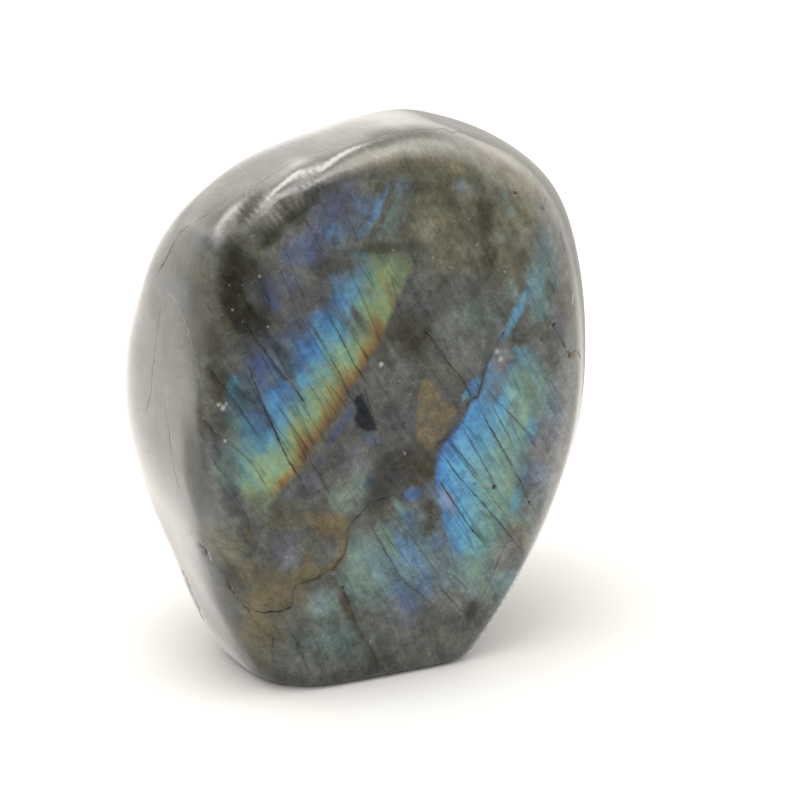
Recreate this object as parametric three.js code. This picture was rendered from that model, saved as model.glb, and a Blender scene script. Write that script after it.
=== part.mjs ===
// Polished labradorite freeform: one solid piece of stone, standing on a flat
// ground base. Millimetres, +Z up, X along the 90 mm length, the polished
// flash face towards -Y. The origin is the middle of the bounding box's
// bottom, and the stone stands on z = 0.
//
// The body is a convex cobble. It is given by a table of ground facets (flats
// that the lapidary's wheel left), blended into one another by a smooth
// maximum, so each edge between two facets is rounded over. Some edges, such
// as the shoulder at the top left of the face, are kept crisper than others.
// The surface is found along rays from a point inside the stone.

import * as THREE from 'three';
import { mergeVertices } from 'three/addons/utils/BufferGeometryUtils.js';

// ---- driving dimensions (mm) -------------------------------------------
const HEIGHT = 100;              // base to crown
const LENGTH = 90;               // left to right
const FACET_CENTRE = [0, 0, 50]; // facet distances are measured from here
const RAY_CENTRE = [0, 0, 48];   // surface rays start here
const EDGE_SOFTNESS = 0.30;      // 1/mm, larger is a crisper edge everywhere
const BASE_ROUND = 3.5;          // blend between the flat base and the sides
const BASE_CENTRE = [2.37, 4.74]; // box centre in the facet table's axes
const RAY_MAX = 95;              // longer than the stone's largest radius
const DETAIL = 21;               // icosphere subdivision: 20 * (DETAIL + 1)^2 triangles

// facet name, azimuth of its normal in the XZ plane (deg, 0 = +X, 90 = +Z),
// tilt towards the face (deg, 90 = straight at -Y), distance from the centre
const FACETS = [
  // polished face and its four leaning parts
  ['front', 0, 90, 33.72],
  ['front_right', 0, 76, 48.58],
  ['front_top', 90, 77, 33.25],
  ['front_left', 180, 77, 31.09],
  ['front_low', 270, 80, 26.69],
  // back
  ['back', 0, -90, 38.83],
  ['back_right', 0, -72, 45.64],
  ['back_top', 90, -72, 42.37],
  ['back_left', 180, -72, 41.63],
  ['back_low', 270, -76, 43.89],
  // rim, from the right side over the crown to the left side
  ['side_r0', 0, 4, 48.62],
  ['side_r1', 22, 4, 61.52],
  ['side_r2', 45, 5, 60.70],
  ['top_r', 68, 8, 50.27],
  ['top', 90, 8, 51.00],
  ['top_l', 108, 8, 49.68],
  ['side_l3', 126, 6, 52.75],
  ['side_l2', 146, 6, 53.88],
  ['side_l1', 164, 8, 49.03],
  ['side_l0', 181, 10, 42.74],
  // rim, closing in towards the narrower foot
  ['low_l0', 200, 8, 44.50],
  ['low_l1', 213, 4, 48.30],
  ['low_l1b', 222, 3, 56.49],
  ['low_l2', 232, 0, 59.20],
  ['low_r0', 342, 6, 52.27],
  ['low_r1b', 335, 4, 51.77],
  ['low_r1', 328, 6, 40.59],
  ['low_r2', 312, 4, 49.30],
  // narrow flats that soften the right rim towards the face
  ['rr_a', 5, 26, 43.10],
  ['rr_b', 345, 26, 55.07],
  ['rr_c', 25, 26, 54.47],
  ['rr_d', 328, 24, 49.75],
  ['rr_e', 45, 20, 51.38],
  // narrow flats that soften the left rim towards the back
  ['ll_a', 175, -24, 48.55],
  ['ll_b', 195, -24, 44.95],
  ['ll_c', 212, -20, 48.34],
  // bevel down the upper left edge of the face
  ['lf_bevel', 172.5, 28, 45.80],
  // bevels between the face and the rim
  ['bev_0', 0, 45, 44.85],
  ['bev_20', 25, 45, 49.38],
  ['bev_50', 50, 42, 51.96],
  ['bev_75', 75, 38, 49.80],
  ['bev_100', 101, 38, 49.90],
  ['bev_125', 124, 40, 52.17],
  ['bev_145', 144, 42, 51.26],
  ['bev_205', 205, 45, 48.24],
  ['bev_225', 222, 45, 45.17],
  ['bev_315', 312, 45, 44.74],
  ['bev_335', 335, 45, 44.98],
  // bevels between the back and the rim
  ['bb_0', 0, -38, 54.01],
  ['bb_35', 35, -38, 53.10],
  ['bb_70', 70, -38, 52.58],
  ['bb_100', 100, -38, 35.33],
  ['bb_130', 130, -38, 36.81],
  ['bb_160', 160, -38, 42.14],
  ['bb_190', 190, -38, 46.35],
  ['bb_215', 215, -38, 45.43],
  ['bb_235', 235, -40, 49.86],
  ['bb_305', 305, -40, 53.80],
  ['bb_325', 325, -38, 52.19],
];

// crisper stretches of edge: centre, radius (mm), added softness factor (1/mm)
const CRISP = [
  [[-37, -26, 70], 16, 1.0],   // long edge between the left side and the face
  [[-24, -22, 88], 16, 0.8],   // left shoulder
  [[-8, -16, 98], 18, 0.8],    // bevel under the crown
  [[12, -14, 98], 16, 0.6],
  [[-10, -14, 0], 22, 0.7],    // foot, front left
  [[18, -14, 0], 22, 0.7],     // foot, front right
  [[-12, 16, 0], 18, 0.4],     // foot, back
  [[20, 14, 0], 18, 0.4],
  [[-37, -20, 45], 18, 0.25],  // left edge lower down, rounder
];

// shallow hand-polishing waves: wave vector (rad/mm), phase, height (mm)
const WAVES = [
  [0.23, 0.11, 0.17, 0.4, 0.035],
  [-0.15, 0.19, 0.26, 2.1, 0.030],
  [0.33, -0.12, -0.14, 4.0, 0.022],
  [0.08, 0.36, -0.22, 1.2, 0.022],
  [-0.30, -0.21, 0.31, 5.3, 0.016],
];

const STONE = { color: 0x5b605c, roughness: 0.22, metalness: 0.0 };

// ---- surface -----------------------------------------------------------
const planes = FACETS.map(([, azimuth, tilt, distance]) => {
  const a = THREE.MathUtils.degToRad(azimuth);
  const t = THREE.MathUtils.degToRad(tilt);
  return [Math.cos(a) * Math.cos(t), -Math.sin(t), Math.sin(a) * Math.cos(t), distance];
});

function smoothMax(a, b, radius) {
  const h = Math.max(radius - Math.abs(a - b), 0) / radius;
  return Math.max(a, b) + (h * h * h * radius) / 6;
}

// negative inside the stone, positive outside
function stoneField(x, y, z) {
  let k = EDGE_SOFTNESS;
  for (const [c, r, extra] of CRISP) {
    const d2 = (x - c[0]) ** 2 + (y - c[1]) ** 2 + (z - c[2]) ** 2;
    k += extra * Math.exp(-d2 / (r * r));
  }
  const px = x - FACET_CENTRE[0];
  const py = y - FACET_CENTRE[1];
  const pz = z - FACET_CENTRE[2];
  let top = -Infinity;
  const gaps = planes.map(([nx, ny, nz, d]) => {
    const g = nx * px + ny * py + nz * pz - d;
    if (g > top) top = g;
    return g;
  });
  let sum = 0;
  for (const g of gaps) sum += Math.exp(k * (g - top));
  let f = top + Math.log(sum) / k;
  for (const [kx, ky, kz, phase, height] of WAVES) {
    f += height * Math.sin(kx * x + ky * y + kz * z + phase);
  }
  return smoothMax(f, -z, BASE_ROUND);
}

function surfaceRadius(dx, dy, dz) {
  let lo = 5;
  let hi = RAY_MAX;
  for (let i = 0; i < 40; i += 1) {
    const mid = (lo + hi) / 2;
    const f = stoneField(
      RAY_CENTRE[0] + dx * mid,
      RAY_CENTRE[1] + dy * mid,
      RAY_CENTRE[2] + dz * mid,
    );
    if (f > 0) hi = mid; else lo = mid;
  }
  return (lo + hi) / 2;
}

function stoneGeometry() {
  const ball = new THREE.IcosahedronGeometry(1, DETAIL);
  ball.deleteAttribute('normal');
  ball.deleteAttribute('uv');
  const geometry = mergeVertices(ball, 1e-5);
  const position = geometry.getAttribute('position');
  const dir = new THREE.Vector3();
  for (let i = 0; i < position.count; i += 1) {
    dir.fromBufferAttribute(position, i).normalize();
    const r = surfaceRadius(dir.x, dir.y, dir.z);
    let z = RAY_CENTRE[2] + dir.z * r;
    if (Math.abs(z) < 1e-3) z = 0; // the base is ground dead flat
    position.setXYZ(
      i,
      RAY_CENTRE[0] + dir.x * r - BASE_CENTRE[0],
      RAY_CENTRE[1] + dir.y * r - BASE_CENTRE[1],
      z,
    );
  }
  // trim to the stated height and length
  geometry.computeBoundingBox();
  const box = geometry.boundingBox;
  geometry.scale(LENGTH / (box.max.x - box.min.x), 1, HEIGHT / box.max.z);
  geometry.computeBoundingBox();
  geometry.translate(
    -(geometry.boundingBox.min.x + geometry.boundingBox.max.x) / 2,
    -(geometry.boundingBox.min.y + geometry.boundingBox.max.y) / 2,
    0,
  );
  geometry.computeVertexNormals();
  return geometry;
}

const stone = new THREE.Mesh(stoneGeometry(), new THREE.MeshStandardMaterial(STONE));
stone.name = 'labradorite_stone';

const part = new THREE.Group();
part.name = 'labradorite_freeform';
part.add(stone);

export default part;
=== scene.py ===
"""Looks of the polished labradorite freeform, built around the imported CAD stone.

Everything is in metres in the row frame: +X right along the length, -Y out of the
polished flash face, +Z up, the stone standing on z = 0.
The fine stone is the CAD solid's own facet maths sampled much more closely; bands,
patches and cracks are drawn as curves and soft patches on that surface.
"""

import math

import bpy
import numpy as np
from mathutils import Matrix, Vector


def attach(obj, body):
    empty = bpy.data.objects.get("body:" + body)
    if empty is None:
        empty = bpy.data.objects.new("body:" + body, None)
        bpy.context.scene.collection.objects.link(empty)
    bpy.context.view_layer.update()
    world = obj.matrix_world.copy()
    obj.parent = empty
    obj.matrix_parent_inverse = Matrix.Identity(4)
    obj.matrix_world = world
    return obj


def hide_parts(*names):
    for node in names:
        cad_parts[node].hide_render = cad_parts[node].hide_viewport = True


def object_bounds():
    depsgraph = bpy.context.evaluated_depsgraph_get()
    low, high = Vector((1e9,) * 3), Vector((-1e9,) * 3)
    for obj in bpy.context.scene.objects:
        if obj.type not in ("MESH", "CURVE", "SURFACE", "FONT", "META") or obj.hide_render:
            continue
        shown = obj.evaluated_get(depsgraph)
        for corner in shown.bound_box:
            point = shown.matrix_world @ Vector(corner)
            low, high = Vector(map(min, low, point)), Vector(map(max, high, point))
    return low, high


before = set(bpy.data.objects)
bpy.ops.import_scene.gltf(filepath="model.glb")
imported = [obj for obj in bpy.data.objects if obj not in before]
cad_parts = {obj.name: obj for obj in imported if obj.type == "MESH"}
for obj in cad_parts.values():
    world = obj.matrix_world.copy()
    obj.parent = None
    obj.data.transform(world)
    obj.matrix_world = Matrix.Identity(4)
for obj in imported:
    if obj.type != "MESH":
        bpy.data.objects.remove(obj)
cad_lo, cad_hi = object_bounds()
scene = bpy.context.scene

# ------------------------------------------------------------------ the stone
# name, azimuth in XZ (deg), tilt towards the face (deg), distance (mm)
FACETS = [
    ("front", 0, 90, 33.72), ("front_right", 0, 76, 48.58), ("front_top", 90, 77, 33.25),
    ("front_left", 180, 77, 31.09), ("front_low", 270, 80, 26.69), ("back", 0, -90, 38.83),
    ("back_right", 0, -72, 45.64), ("back_top", 90, -72, 42.37), ("back_left", 180, -72, 41.63),
    ("back_low", 270, -76, 43.89), ("side_r0", 0, 4, 48.62), ("side_r1", 22, 4, 61.52),
    ("side_r2", 45, 5, 60.70), ("top_r", 68, 8, 50.27), ("top", 90, 8, 51.00),
    ("top_l", 108, 8, 49.68), ("side_l3", 126, 6, 52.75), ("side_l2", 146, 6, 53.88),
    ("side_l1", 164, 8, 49.03), ("side_l0", 181, 10, 42.74), ("low_l0", 200, 8, 44.50),
    ("low_l1", 213, 4, 48.30), ("low_l1b", 222, 3, 56.49), ("low_l2", 232, 0, 59.20),
    ("low_r0", 342, 6, 52.27), ("low_r1b", 335, 4, 51.77), ("low_r1", 328, 6, 40.59),
    ("low_r2", 312, 4, 49.30), ("rr_a", 5, 26, 43.10), ("rr_b", 345, 26, 55.07),
    ("rr_c", 25, 26, 54.47), ("rr_d", 328, 24, 49.75), ("rr_e", 45, 20, 51.38),
    ("ll_a", 175, -24, 48.55), ("ll_b", 195, -24, 44.95), ("ll_c", 212, -20, 48.34),
    ("lf_bevel", 172.5, 28, 45.80), ("bev_0", 0, 45, 44.85), ("bev_20", 25, 45, 49.38),
    ("bev_50", 50, 42, 51.96), ("bev_75", 75, 38, 49.80), ("bev_100", 101, 38, 49.90),
    ("bev_125", 124, 40, 52.17), ("bev_145", 144, 42, 51.26), ("bev_205", 205, 45, 48.24),
    ("bev_225", 222, 45, 45.17), ("bev_315", 312, 45, 44.74), ("bev_335", 335, 45, 44.98),
    ("bb_0", 0, -38, 54.01), ("bb_35", 35, -38, 53.10), ("bb_70", 70, -38, 52.58),
    ("bb_100", 100, -38, 35.33), ("bb_130", 130, -38, 36.81), ("bb_160", 160, -38, 42.14),
    ("bb_190", 190, -38, 46.35), ("bb_215", 215, -38, 45.43), ("bb_235", 235, -40, 49.86),
    ("bb_305", 305, -40, 53.80), ("bb_325", 325, -38, 52.19),
]
CRISP = [
    ((-37, -26, 70), 16, 1.0), ((-24, -22, 88), 16, 0.8), ((-8, -16, 98), 18, 0.8),
    ((12, -14, 98), 16, 0.6), ((-10, -14, 0), 22, 0.7), ((18, -14, 0), 22, 0.7),
    ((-12, 16, 0), 18, 0.4), ((20, 14, 0), 18, 0.4), ((-37, -20, 45), 18, 0.25),
]
WAVES = [
    (0.23, 0.11, 0.17, 0.4, 0.035), (-0.15, 0.19, 0.26, 2.1, 0.030),
    (0.33, -0.12, -0.14, 4.0, 0.022), (0.08, 0.36, -0.22, 1.2, 0.022),
    (-0.30, -0.21, 0.31, 5.3, 0.016),
]
EDGE_SOFTNESS, BASE_ROUND = 0.30, 3.5
_az = np.radians([f[1] for f in FACETS])
_ti = np.radians([f[2] for f in FACETS])
NORMALS = np.stack([np.cos(_az) * np.cos(_ti), -np.sin(_ti), np.sin(_az) * np.cos(_ti)], 1)
DIST = np.array([f[3] for f in FACETS], float)


def smooth_max(a, b, r):
    h = np.maximum(r - np.abs(a - b), 0.0) / r
    return np.maximum(a, b) + h ** 3 * r / 6


def stone_field(s):
    """Signed gap to the stone's surface in mm, negative inside. s is (n, 3) in the facet table's axes."""
    k = np.full(len(s), EDGE_SOFTNESS)
    for c, r, extra in CRISP:
        k += extra * np.exp(-((s - np.array(c, float)) ** 2).sum(1) / (r * r))
    g = (s - np.array([0.0, 0.0, 50.0])) @ NORMALS.T - DIST
    top = g.max(1)
    f = top + np.log(np.exp(k[:, None] * (g - top[:, None])).sum(1)) / k
    for kx, ky, kz, ph, a in WAVES:
        f += a * np.sin(kx * s[:, 0] + ky * s[:, 1] + kz * s[:, 2] + ph)
    return smooth_max(f, -s[:, 2], BASE_ROUND)


def geodesic(n):
    """A ball of 20 n^2 triangles: unit points and faces, facing out."""
    t = (1 + 5 ** 0.5) / 2
    v = np.array([(-1, t, 0), (1, t, 0), (-1, -t, 0), (1, -t, 0), (0, -1, t), (0, 1, t),
                  (0, -1, -t), (0, 1, -t), (t, 0, -1), (t, 0, 1), (-t, 0, -1), (-t, 0, 1)], float)
    f = [(0, 11, 5), (0, 5, 1), (0, 1, 7), (0, 7, 10), (0, 10, 11), (1, 5, 9), (5, 11, 4),
         (11, 10, 2), (10, 7, 6), (7, 1, 8), (3, 9, 4), (3, 4, 2), (3, 2, 6), (3, 6, 8),
         (3, 8, 9), (4, 9, 5), (2, 4, 11), (6, 2, 10), (8, 6, 7), (9, 8, 1)]
    pts, tris, base = [], [], 0
    ij = [(i, j) for i in range(n + 1) for j in range(n + 1 - i)]
    index = {p: q for q, p in enumerate(ij)}
    w = np.array([(n - i - j, i, j) for i, j in ij], float) / n
    tri = []
    for i, j in ij:
        if i + j < n:
            tri.append((index[i, j], index[i + 1, j], index[i, j + 1]))
            if i + j < n - 1:
                tri.append((index[i + 1, j], index[i + 1, j + 1], index[i, j + 1]))
    tri = np.array(tri)
    for face in f:
        pts.append(w @ v[list(face)])
        tris.append(tri + base)
        base += len(ij)
    pts = np.concatenate(pts)
    pts /= np.linalg.norm(pts, axis=1)[:, None]
    tris = np.concatenate(tris)
    _, first, back = np.unique(np.round(pts, 6), axis=0, return_index=True, return_inverse=True)
    return pts[first], back.reshape(-1)[tris]


def warp_to_face(d, share=0.60, reach=50.6):
    """Crowds the ball's points towards -Y, so the polished face gets a finer mesh."""
    area = np.clip((1 + d[:, 1]) / 2, 0, 1)
    radial = np.stack([d[:, 0], d[:, 2]], 1)
    radial /= np.maximum(np.linalg.norm(radial, axis=1), 1e-12)[:, None]
    cm = math.cos(math.radians(reach))
    front = np.arctan(math.tan(math.radians(reach)) * np.sqrt(np.minimum(area / share, 1)))
    rest = np.arccos(np.clip(cm - (1 + cm) * np.clip((area - share) / (1 - share), 0, 1), -1, 1))
    th = np.where(area <= share, front, rest)
    return np.stack([radial[:, 0] * np.sin(th), -np.cos(th), radial[:, 1] * np.sin(th)], 1)


def stone_points(d):
    centre = np.array([0.0, 12.0, 48.0])
    lo, hi = np.full(len(d), 5.0), np.full(len(d), 95.0)
    for _ in range(15):
        mid = (lo + hi) / 2
        out = stone_field(centre + d * mid[:, None]) > 0
        hi, lo = np.where(out, mid, hi), np.where(out, lo, mid)
    fl, fh = stone_field(centre + d * lo[:, None]), stone_field(centre + d * hi[:, None])
    r = lo + (hi - lo) * np.clip(-fl / np.maximum(fh - fl, 1e-12), 0, 1)
    return centre + d * r[:, None]


ball, tris = geodesic(98)
pts = stone_points(warp_to_face(ball))
pts[np.abs(pts[:, 2]) < 2e-3, 2] = 0.0
lo, hi = pts.min(0), pts.max(0)
span = (np.array(cad_hi) - np.array(cad_lo)) * 1000
# fitted a hair inside the CAD box
scale = (span - np.array([0.04, 0.04, 0.03])) / (hi - lo)
mm = (pts - np.array([(lo[0] + hi[0]) / 2, (lo[1] + hi[1]) / 2, lo[2]])) * scale
mm[:, 0] += (cad_lo[0] + cad_hi[0]) * 500
mm[:, 1] += (cad_lo[1] + cad_hi[1]) * 500
mm[:, 2] += cad_lo[2] * 1000

mesh = bpy.data.meshes.new("polished_stone")
mesh.vertices.add(len(mm))
mesh.vertices.foreach_set("co", (mm / 1000).astype(np.float32).ravel())
mesh.loops.add(len(tris) * 3)
mesh.loops.foreach_set("vertex_index", tris.astype(np.int32).ravel())
mesh.polygons.add(len(tris))
mesh.polygons.foreach_set("loop_start", np.arange(0, len(tris) * 3, 3, dtype=np.int32))
mesh.polygons.foreach_set("loop_total", np.full(len(tris), 3, np.int32))
mesh.polygons.foreach_set("use_smooth", np.ones(len(tris), bool))
mesh.update(calc_edges=True)
mesh.validate()
stone = bpy.data.objects.new("polished_stone", mesh)
scene.collection.objects.link(stone)
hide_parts("labradorite_stone")
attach(stone, "root")
# cracks and healed seams, and one painted highlight: name, kind (0 open or dark, 1 stained, 2 painted highlight along a
# crisp edge), width mm, strength, depth mm, points mm
CRACKS_AND_EDGE_HIGHLIGHT = [
    ("ridge_a", 0, 0.26, 1.00, 0.06, [(-43.6, -13.5, 75.2), (-43, -15.8, 78.3), (-42.2, -17.2, 80.8),
     (-41.3, -17.8, 82.9), (-40.6, -18.7, 84.1), (-39.4, -20.1, 85.4)]),
    ("ridge_b", 0, 0.24, 0.75, 0.06, [(-39.4, -20.1, 85.4), (-37.7, -21.9, 86.8), (-36.2, -22.2, 87.8),
     (-34.1, -22.3, 89.1), (-31.9, -22.2, 90.1), (-31, -23.3, 90.3), (-28.8, -22.8, 91.2),
     (-26.5, -22, 92.2), (-24.4, -21.6, 92.9), (-22.1, -21.2, 93.8), (-20.4, -21.3, 94.4)]),
    ("ridge_c", 1, 0.42, 0.95, 0.05, [(-2, -24.1, 97.9), (0.5, -23.4, 98.2), (2.2, -23.2, 98.1),
     (3.3, -23.5, 97.8), (4.9, -22.2, 98.1), (6.3, -22, 97.8), (7, -23, 97.2), (10.1, -20.7, 96.9),
     (12.6, -19.8, 96.1), (15.5, -18.6, 95.2), (18.1, -18, 94.1), (18.9, -20.1, 93.2)]),
    ("ridge_d", 1, 0.20, 0.30, 0.02, [(-20.4, -21.3, 94.4), (-17.1, -21.7, 95.4), (-12.8, -22.4, 96.5),
     (-8.6, -23.1, 97.4), (-4.2, -23.6, 98), (-2, -24.1, 97.9)]),
    ("side_a", 0, 0.18, 0.55, 0.02, [(-43.7, -16.1, 72.1), (-44, -15.5, 68.6), (-44.1, -14.6, 65.2),
     (-44.2, -13.5, 61.5), (-44.3, -12.8, 59.5), (-44.3, -11.9, 55), (-44.4, -10.4, 52.5),
     (-44.5, -8.9, 49.9)]),
    ("side_a2", 0, 0.28, 0.90, 0.02, [(-44.2, -13.7, 62), (-44.2, -13.4, 60.9), (-44.3, -12.8, 59.4)]),
    ("side_b", 0, 0.18, 0.60, 0.02, [(-43.7, -16.7, 55.9), (-43.6, -16.6, 52.9), (-43.4, -17.3, 49.9),
     (-43.2, -17.5, 46.4), (-42.9, -17.6, 43.7), (-42.5, -18.2, 41.3), (-41.9, -18.3, 38.3)]),
    ("side_c", 0, 0.30, 0.25, 0.02, [(-43.4, -17.1, 74.3), (-43.2, -19.8, 73.3), (-43, -21.4, 72.3),
     (-42.8, -22.8, 69.8), (-42.6, -24, 67.2)]),
    ("rim_chip", 0, 0.55, 0.80, 0.40, [(-36.6, -4.5, 19.4), (-35.8, -4.5, 17.3), (-34.7, -3.7, 14.5),
     (-33.8, -4.1, 12.5), (-32.3, -2.3, 9.3), (-31.5, -2.1, 7.7)]),
    ("edge_a", 0, 0.70, 1.00, 0.34, [(-38.9, -19.7, 29.5), (-38.4, -20.2, 28.5), (-37.8, -20.3, 27.2)]),
    ("edge_ab", 1, 0.22, 0.60, 0.02, [(-37.8, -20.3, 27.2), (-37, -20.7, 25.7), (-36.1, -21, 24),
     (-35.2, -21.7, 23)]),
    ("edge_b", 0, 0.62, 1.00, 0.30, [(-35, -21.9, 22.7), (-34.4, -21.6, 21.1), (-33.7, -21.9, 20)]),
    ("edge_bc", 1, 0.20, 0.55, 0.02, [(-33.7, -21.9, 20), (-32.7, -22.2, 18.5)]),
    ("edge_c", 0, 0.75, 1.00, 0.36, [(-32.7, -22.2, 18.5), (-31.8, -22.5, 17.3), (-31.2, -22.6, 16.4)]),
    ("edge_cd", 1, 0.22, 0.50, 0.02, [(-31.2, -22.6, 16.4), (-30.2, -22.5, 14.6), (-29, -22.2, 12),
     (-28.2, -21.7, 9.8)]),
    ("fault_a", 0, 0.30, 1.00, 0.12, [(-30.9, -23.3, 17.3), (-29.5, -24, 16.9), (-28.6, -24.5, 17.1),
     (-28.1, -24.8, 17.3), (-26.6, -25.2, 17.1), (-25.3, -25.6, 17.7), (-24.8, -25.8, 18.7)]),
    ("fault_b", 1, 0.34, 0.85, 0.02, [(-24.8, -25.8, 18.7), (-25, -26.3, 21.1), (-24.2, -26.5, 22.2),
     (-22, -26.8, 22.5), (-20.3, -26.9, 22.9), (-19.3, -27.1, 23.7), (-17.6, -27.2, 24.1),
     (-16.8, -27.4, 25.5), (-15.7, -27.6, 26.7), (-15.4, -27.9, 28.7), (-15.6, -28, 30.1)]),
    ("fault_c", 0, 0.24, 0.70, 0.07, [(-15.6, -28, 30.1), (-15.2, -28.2, 31.7), (-14.2, -28.4, 32.8),
     (-13, -28.5, 33.8), (-11.8, -28.7, 35.5), (-10, -28.8, 35.8), (-7.8, -28.9, 36.2),
     (-6.3, -28.9, 36.5)]),
    ("branch_a", 0, 0.24, 0.90, 0.04, [(-2.9, -31.7, 65.9), (-1, -31.6, 64), (1, -31.4, 61.1),
     (3.3, -31.3, 58.1), (5, -31.2, 56.1), (6.4, -31, 53.6), (6.9, -30.9, 52.3)]),
    ("branch_b", 0, 0.24, 0.95, 0.05, [(6.9, -30.9, 52.3), (8, -30.9, 52.5), (8.5, -31.1, 53.8),
     (8.8, -31.2, 55.1), (9, -31.4, 57.2), (9.9, -31.5, 58.9), (10.5, -31.6, 60.3), (11.7, -31.7, 62.2),
     (13, -31.7, 64.1)]),
    ("branch_c", 0, 0.22, 0.85, 0.02, [(6.8, -30.9, 52.3), (6, -30.8, 51.2), (6.3, -30.6, 49.9),
     (5.3, -30.4, 48.2), (3.9, -30.2, 46.5), (2.7, -30.1, 45.5), (1.2, -30, 45.1), (0.6, -29.9, 43.6)]),
    ("zig", 0, 0.26, 0.80, 0.10, [(20.1, -31.3, 67.5), (20.7, -31.2, 66.6), (21.3, -31.2, 65.3),
     (22.6, -30.9, 63.6), (23.8, -30.6, 62), (25.1, -30.2, 60), (26.4, -29.6, 58.2),
     (27.4, -29.2, 57.4), (28.9, -28.4, 57.9), (30, -27.5, 57), (31.5, -26.3, 55.1)]),
    ("la", 0, 0.34, 0.90, 0.02, [(-35.6, -29, 72.7), (-34.3, -29.2, 70.5), (-32.9, -29.5, 68),
     (-30.7, -30, 64.7), (-28.3, -30.5, 60.9), (-26.7, -30.7, 59.2), (-25.1, -30.8, 56.8),
     (-23.4, -30.6, 54)]),
    ("lb", 0, 0.28, 0.85, 0.02, [(-33.8, -29.3, 63.2), (-33.3, -29.4, 61.5), (-32.3, -29.6, 58.6),
     (-30.8, -29.8, 54.5), (-28.7, -29.8, 49.4), (-26.7, -29.6, 45.3), (-24.9, -29.3, 42.3),
     (-23.2, -28.9, 39.1)]),
    ("lc", 0, 0.24, 0.85, 0.02, [(-23.5, -31.6, 69.3), (-22.4, -31.8, 67.3), (-20.5, -31.8, 63.9),
     (-17.8, -31.4, 59.3), (-16.3, -31, 56.1), (-14.4, -30.7, 53.1)]),
    ("ld", 0, 0.22, 0.75, 0.02, [(-20.9, -32, 71.8), (-20.1, -32.1, 69.7), (-18.1, -32.1, 66.3),
     (-16, -31.6, 62), (-14.5, -31.4, 59.9), (-12.1, -31, 56.1)]),
    ("le", 0, 0.22, 0.75, 0.02, [(-29.3, -30.2, 56.5), (-28.2, -30.2, 54.5), (-26.3, -30.2, 51.6),
     (-24.3, -30, 48.1), (-22.5, -29.6, 44.2), (-20.4, -29.2, 40.8), (-18.5, -28.8, 37.2)]),
    ("lf", 0, 0.55, 0.55, 0.02, [(-40.7, -27.6, 64.2), (-39.7, -27.9, 62.4), (-37.8, -28.4, 59.7),
     (-36.3, -28.8, 57.3), (-34.9, -29.1, 55.1), (-33.4, -29.3, 52.6), (-30.8, -29.5, 48.5)]),
    ("lg", 0, 0.70, 0.70, 0.06, [(-41.3, -26.7, 54.5), (-40.2, -27.5, 53), (-38.9, -28, 51.1)]),
    ("lg2", 0, 0.30, 0.55, 0.02, [(-40.3, -27.1, 48.7), (-39.8, -27.3, 47.3), (-37.8, -27.8, 44.3),
     (-35.8, -27.9, 40.2), (-33.6, -27.7, 35.8), (-32.8, -27, 31.7)]),
    ("lh", 0, 0.26, 0.70, 0.02, [(-14.1, -31.2, 58.5), (-12.4, -30.7, 53.6), (-10.7, -30.4, 49.4)]),
    ("lh2", 0, 0.22, 0.45, 0.02, [(-11.7, -31.2, 59.6), (-10.7, -31.1, 57.5), (-8.4, -30.8, 53.6),
     (-6.4, -30.5, 49.8), (-4.3, -30.1, 46.5)]),
    ("lh3", 0, 0.22, 0.50, 0.02, [(-8.6, -31.9, 67.5), (-6.8, -31.5, 63.7), (-5.2, -31.3, 60.5)]),
    ("li", 0, 0.22, 0.80, 0.02, [(8.1, -30.8, 51.2), (9.9, -30.5, 48.2), (12.5, -30, 44.1),
     (15.6, -29.4, 39), (17.6, -28.9, 35.8), (19.8, -28, 31.5), (20.5, -27.7, 29.7)]),
    ("lj", 0, 0.20, 0.80, 0.02, [(2.4, -30.1, 45.5), (5.2, -29.8, 42.7), (8, -29.5, 39.2),
     (9.6, -29.2, 36.7)]),
    ("lk", 0, 0.22, 0.95, 0.04, [(1.9, -29.8, 43.1), (4.7, -29.4, 39), (8.3, -29, 34.7),
     (12, -28.3, 30.6), (15.9, -27.4, 26), (17.6, -27, 23.8), (19.5, -26.4, 21.6), (20.6, -25.6, 19.1)]),
    ("ll", 0, 0.22, 0.90, 0.02, [(1.2, -29.3, 38.6), (3.7, -29, 34.8), (5.9, -28.6, 31.6),
     (8.6, -27.8, 27.6), (10.1, -27.5, 26), (12, -27.1, 23.7)]),
    ("lm", 1, 0.22, 0.70, 0.02, [(9.2, -31.2, 54.4), (12.3, -30.8, 51), (15.9, -30.4, 47.4),
     (18.5, -30, 44.5), (21.3, -29.3, 40.3)]),
    ("ln", 0, 0.20, 0.70, 0.02, [(4.4, -30, 44.6), (7.3, -29.5, 39.3), (9.9, -29.1, 35.8)]),
    ("ln2", 0, 0.20, 0.65, 0.02, [(5.3, -30.4, 47.8), (7.5, -30, 44), (9.9, -29.6, 40.3),
     (12, -29.2, 36.5), (14.4, -28.6, 32.9)]),
    ("ln3", 0, 0.18, 0.60, 0.02, [(10.5, -30.9, 51.8), (12.3, -30.5, 48.4), (14.3, -30.2, 45.3),
     (16.2, -29.7, 41.6)]),
    ("ln4", 0, 0.18, 0.60, 0.02, [(8, -29.5, 39), (10.5, -29, 35.4), (13.2, -28.4, 31.9),
     (15.4, -27.9, 29.2)]),
    ("lo0", 0, 0.20, 0.60, 0.02, [(-9.4, -28.2, 31.1), (-7.3, -27.8, 27.9), (-4.4, -27.2, 23.9)]),
    ("lo", 0, 0.26, 0.80, 0.02, [(-11.3, -28.3, 31.7), (-9.5, -27.8, 28.4), (-7.9, -27.5, 25.7),
     (-6.1, -27, 22.8), (-4.8, -26.6, 20.4), (-2.8, -26.2, 18.2), (-0.5, -25.8, 16.3),
     (2.2, -25.4, 13.7), (3.8, -25.2, 12.4)]),
    ("lp", 0, 0.20, 0.70, 0.02, [(3.1, -26, 17.6), (4.8, -25.7, 15.3), (7.2, -25.2, 12.5),
     (9.6, -24.7, 9.8)]),
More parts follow.
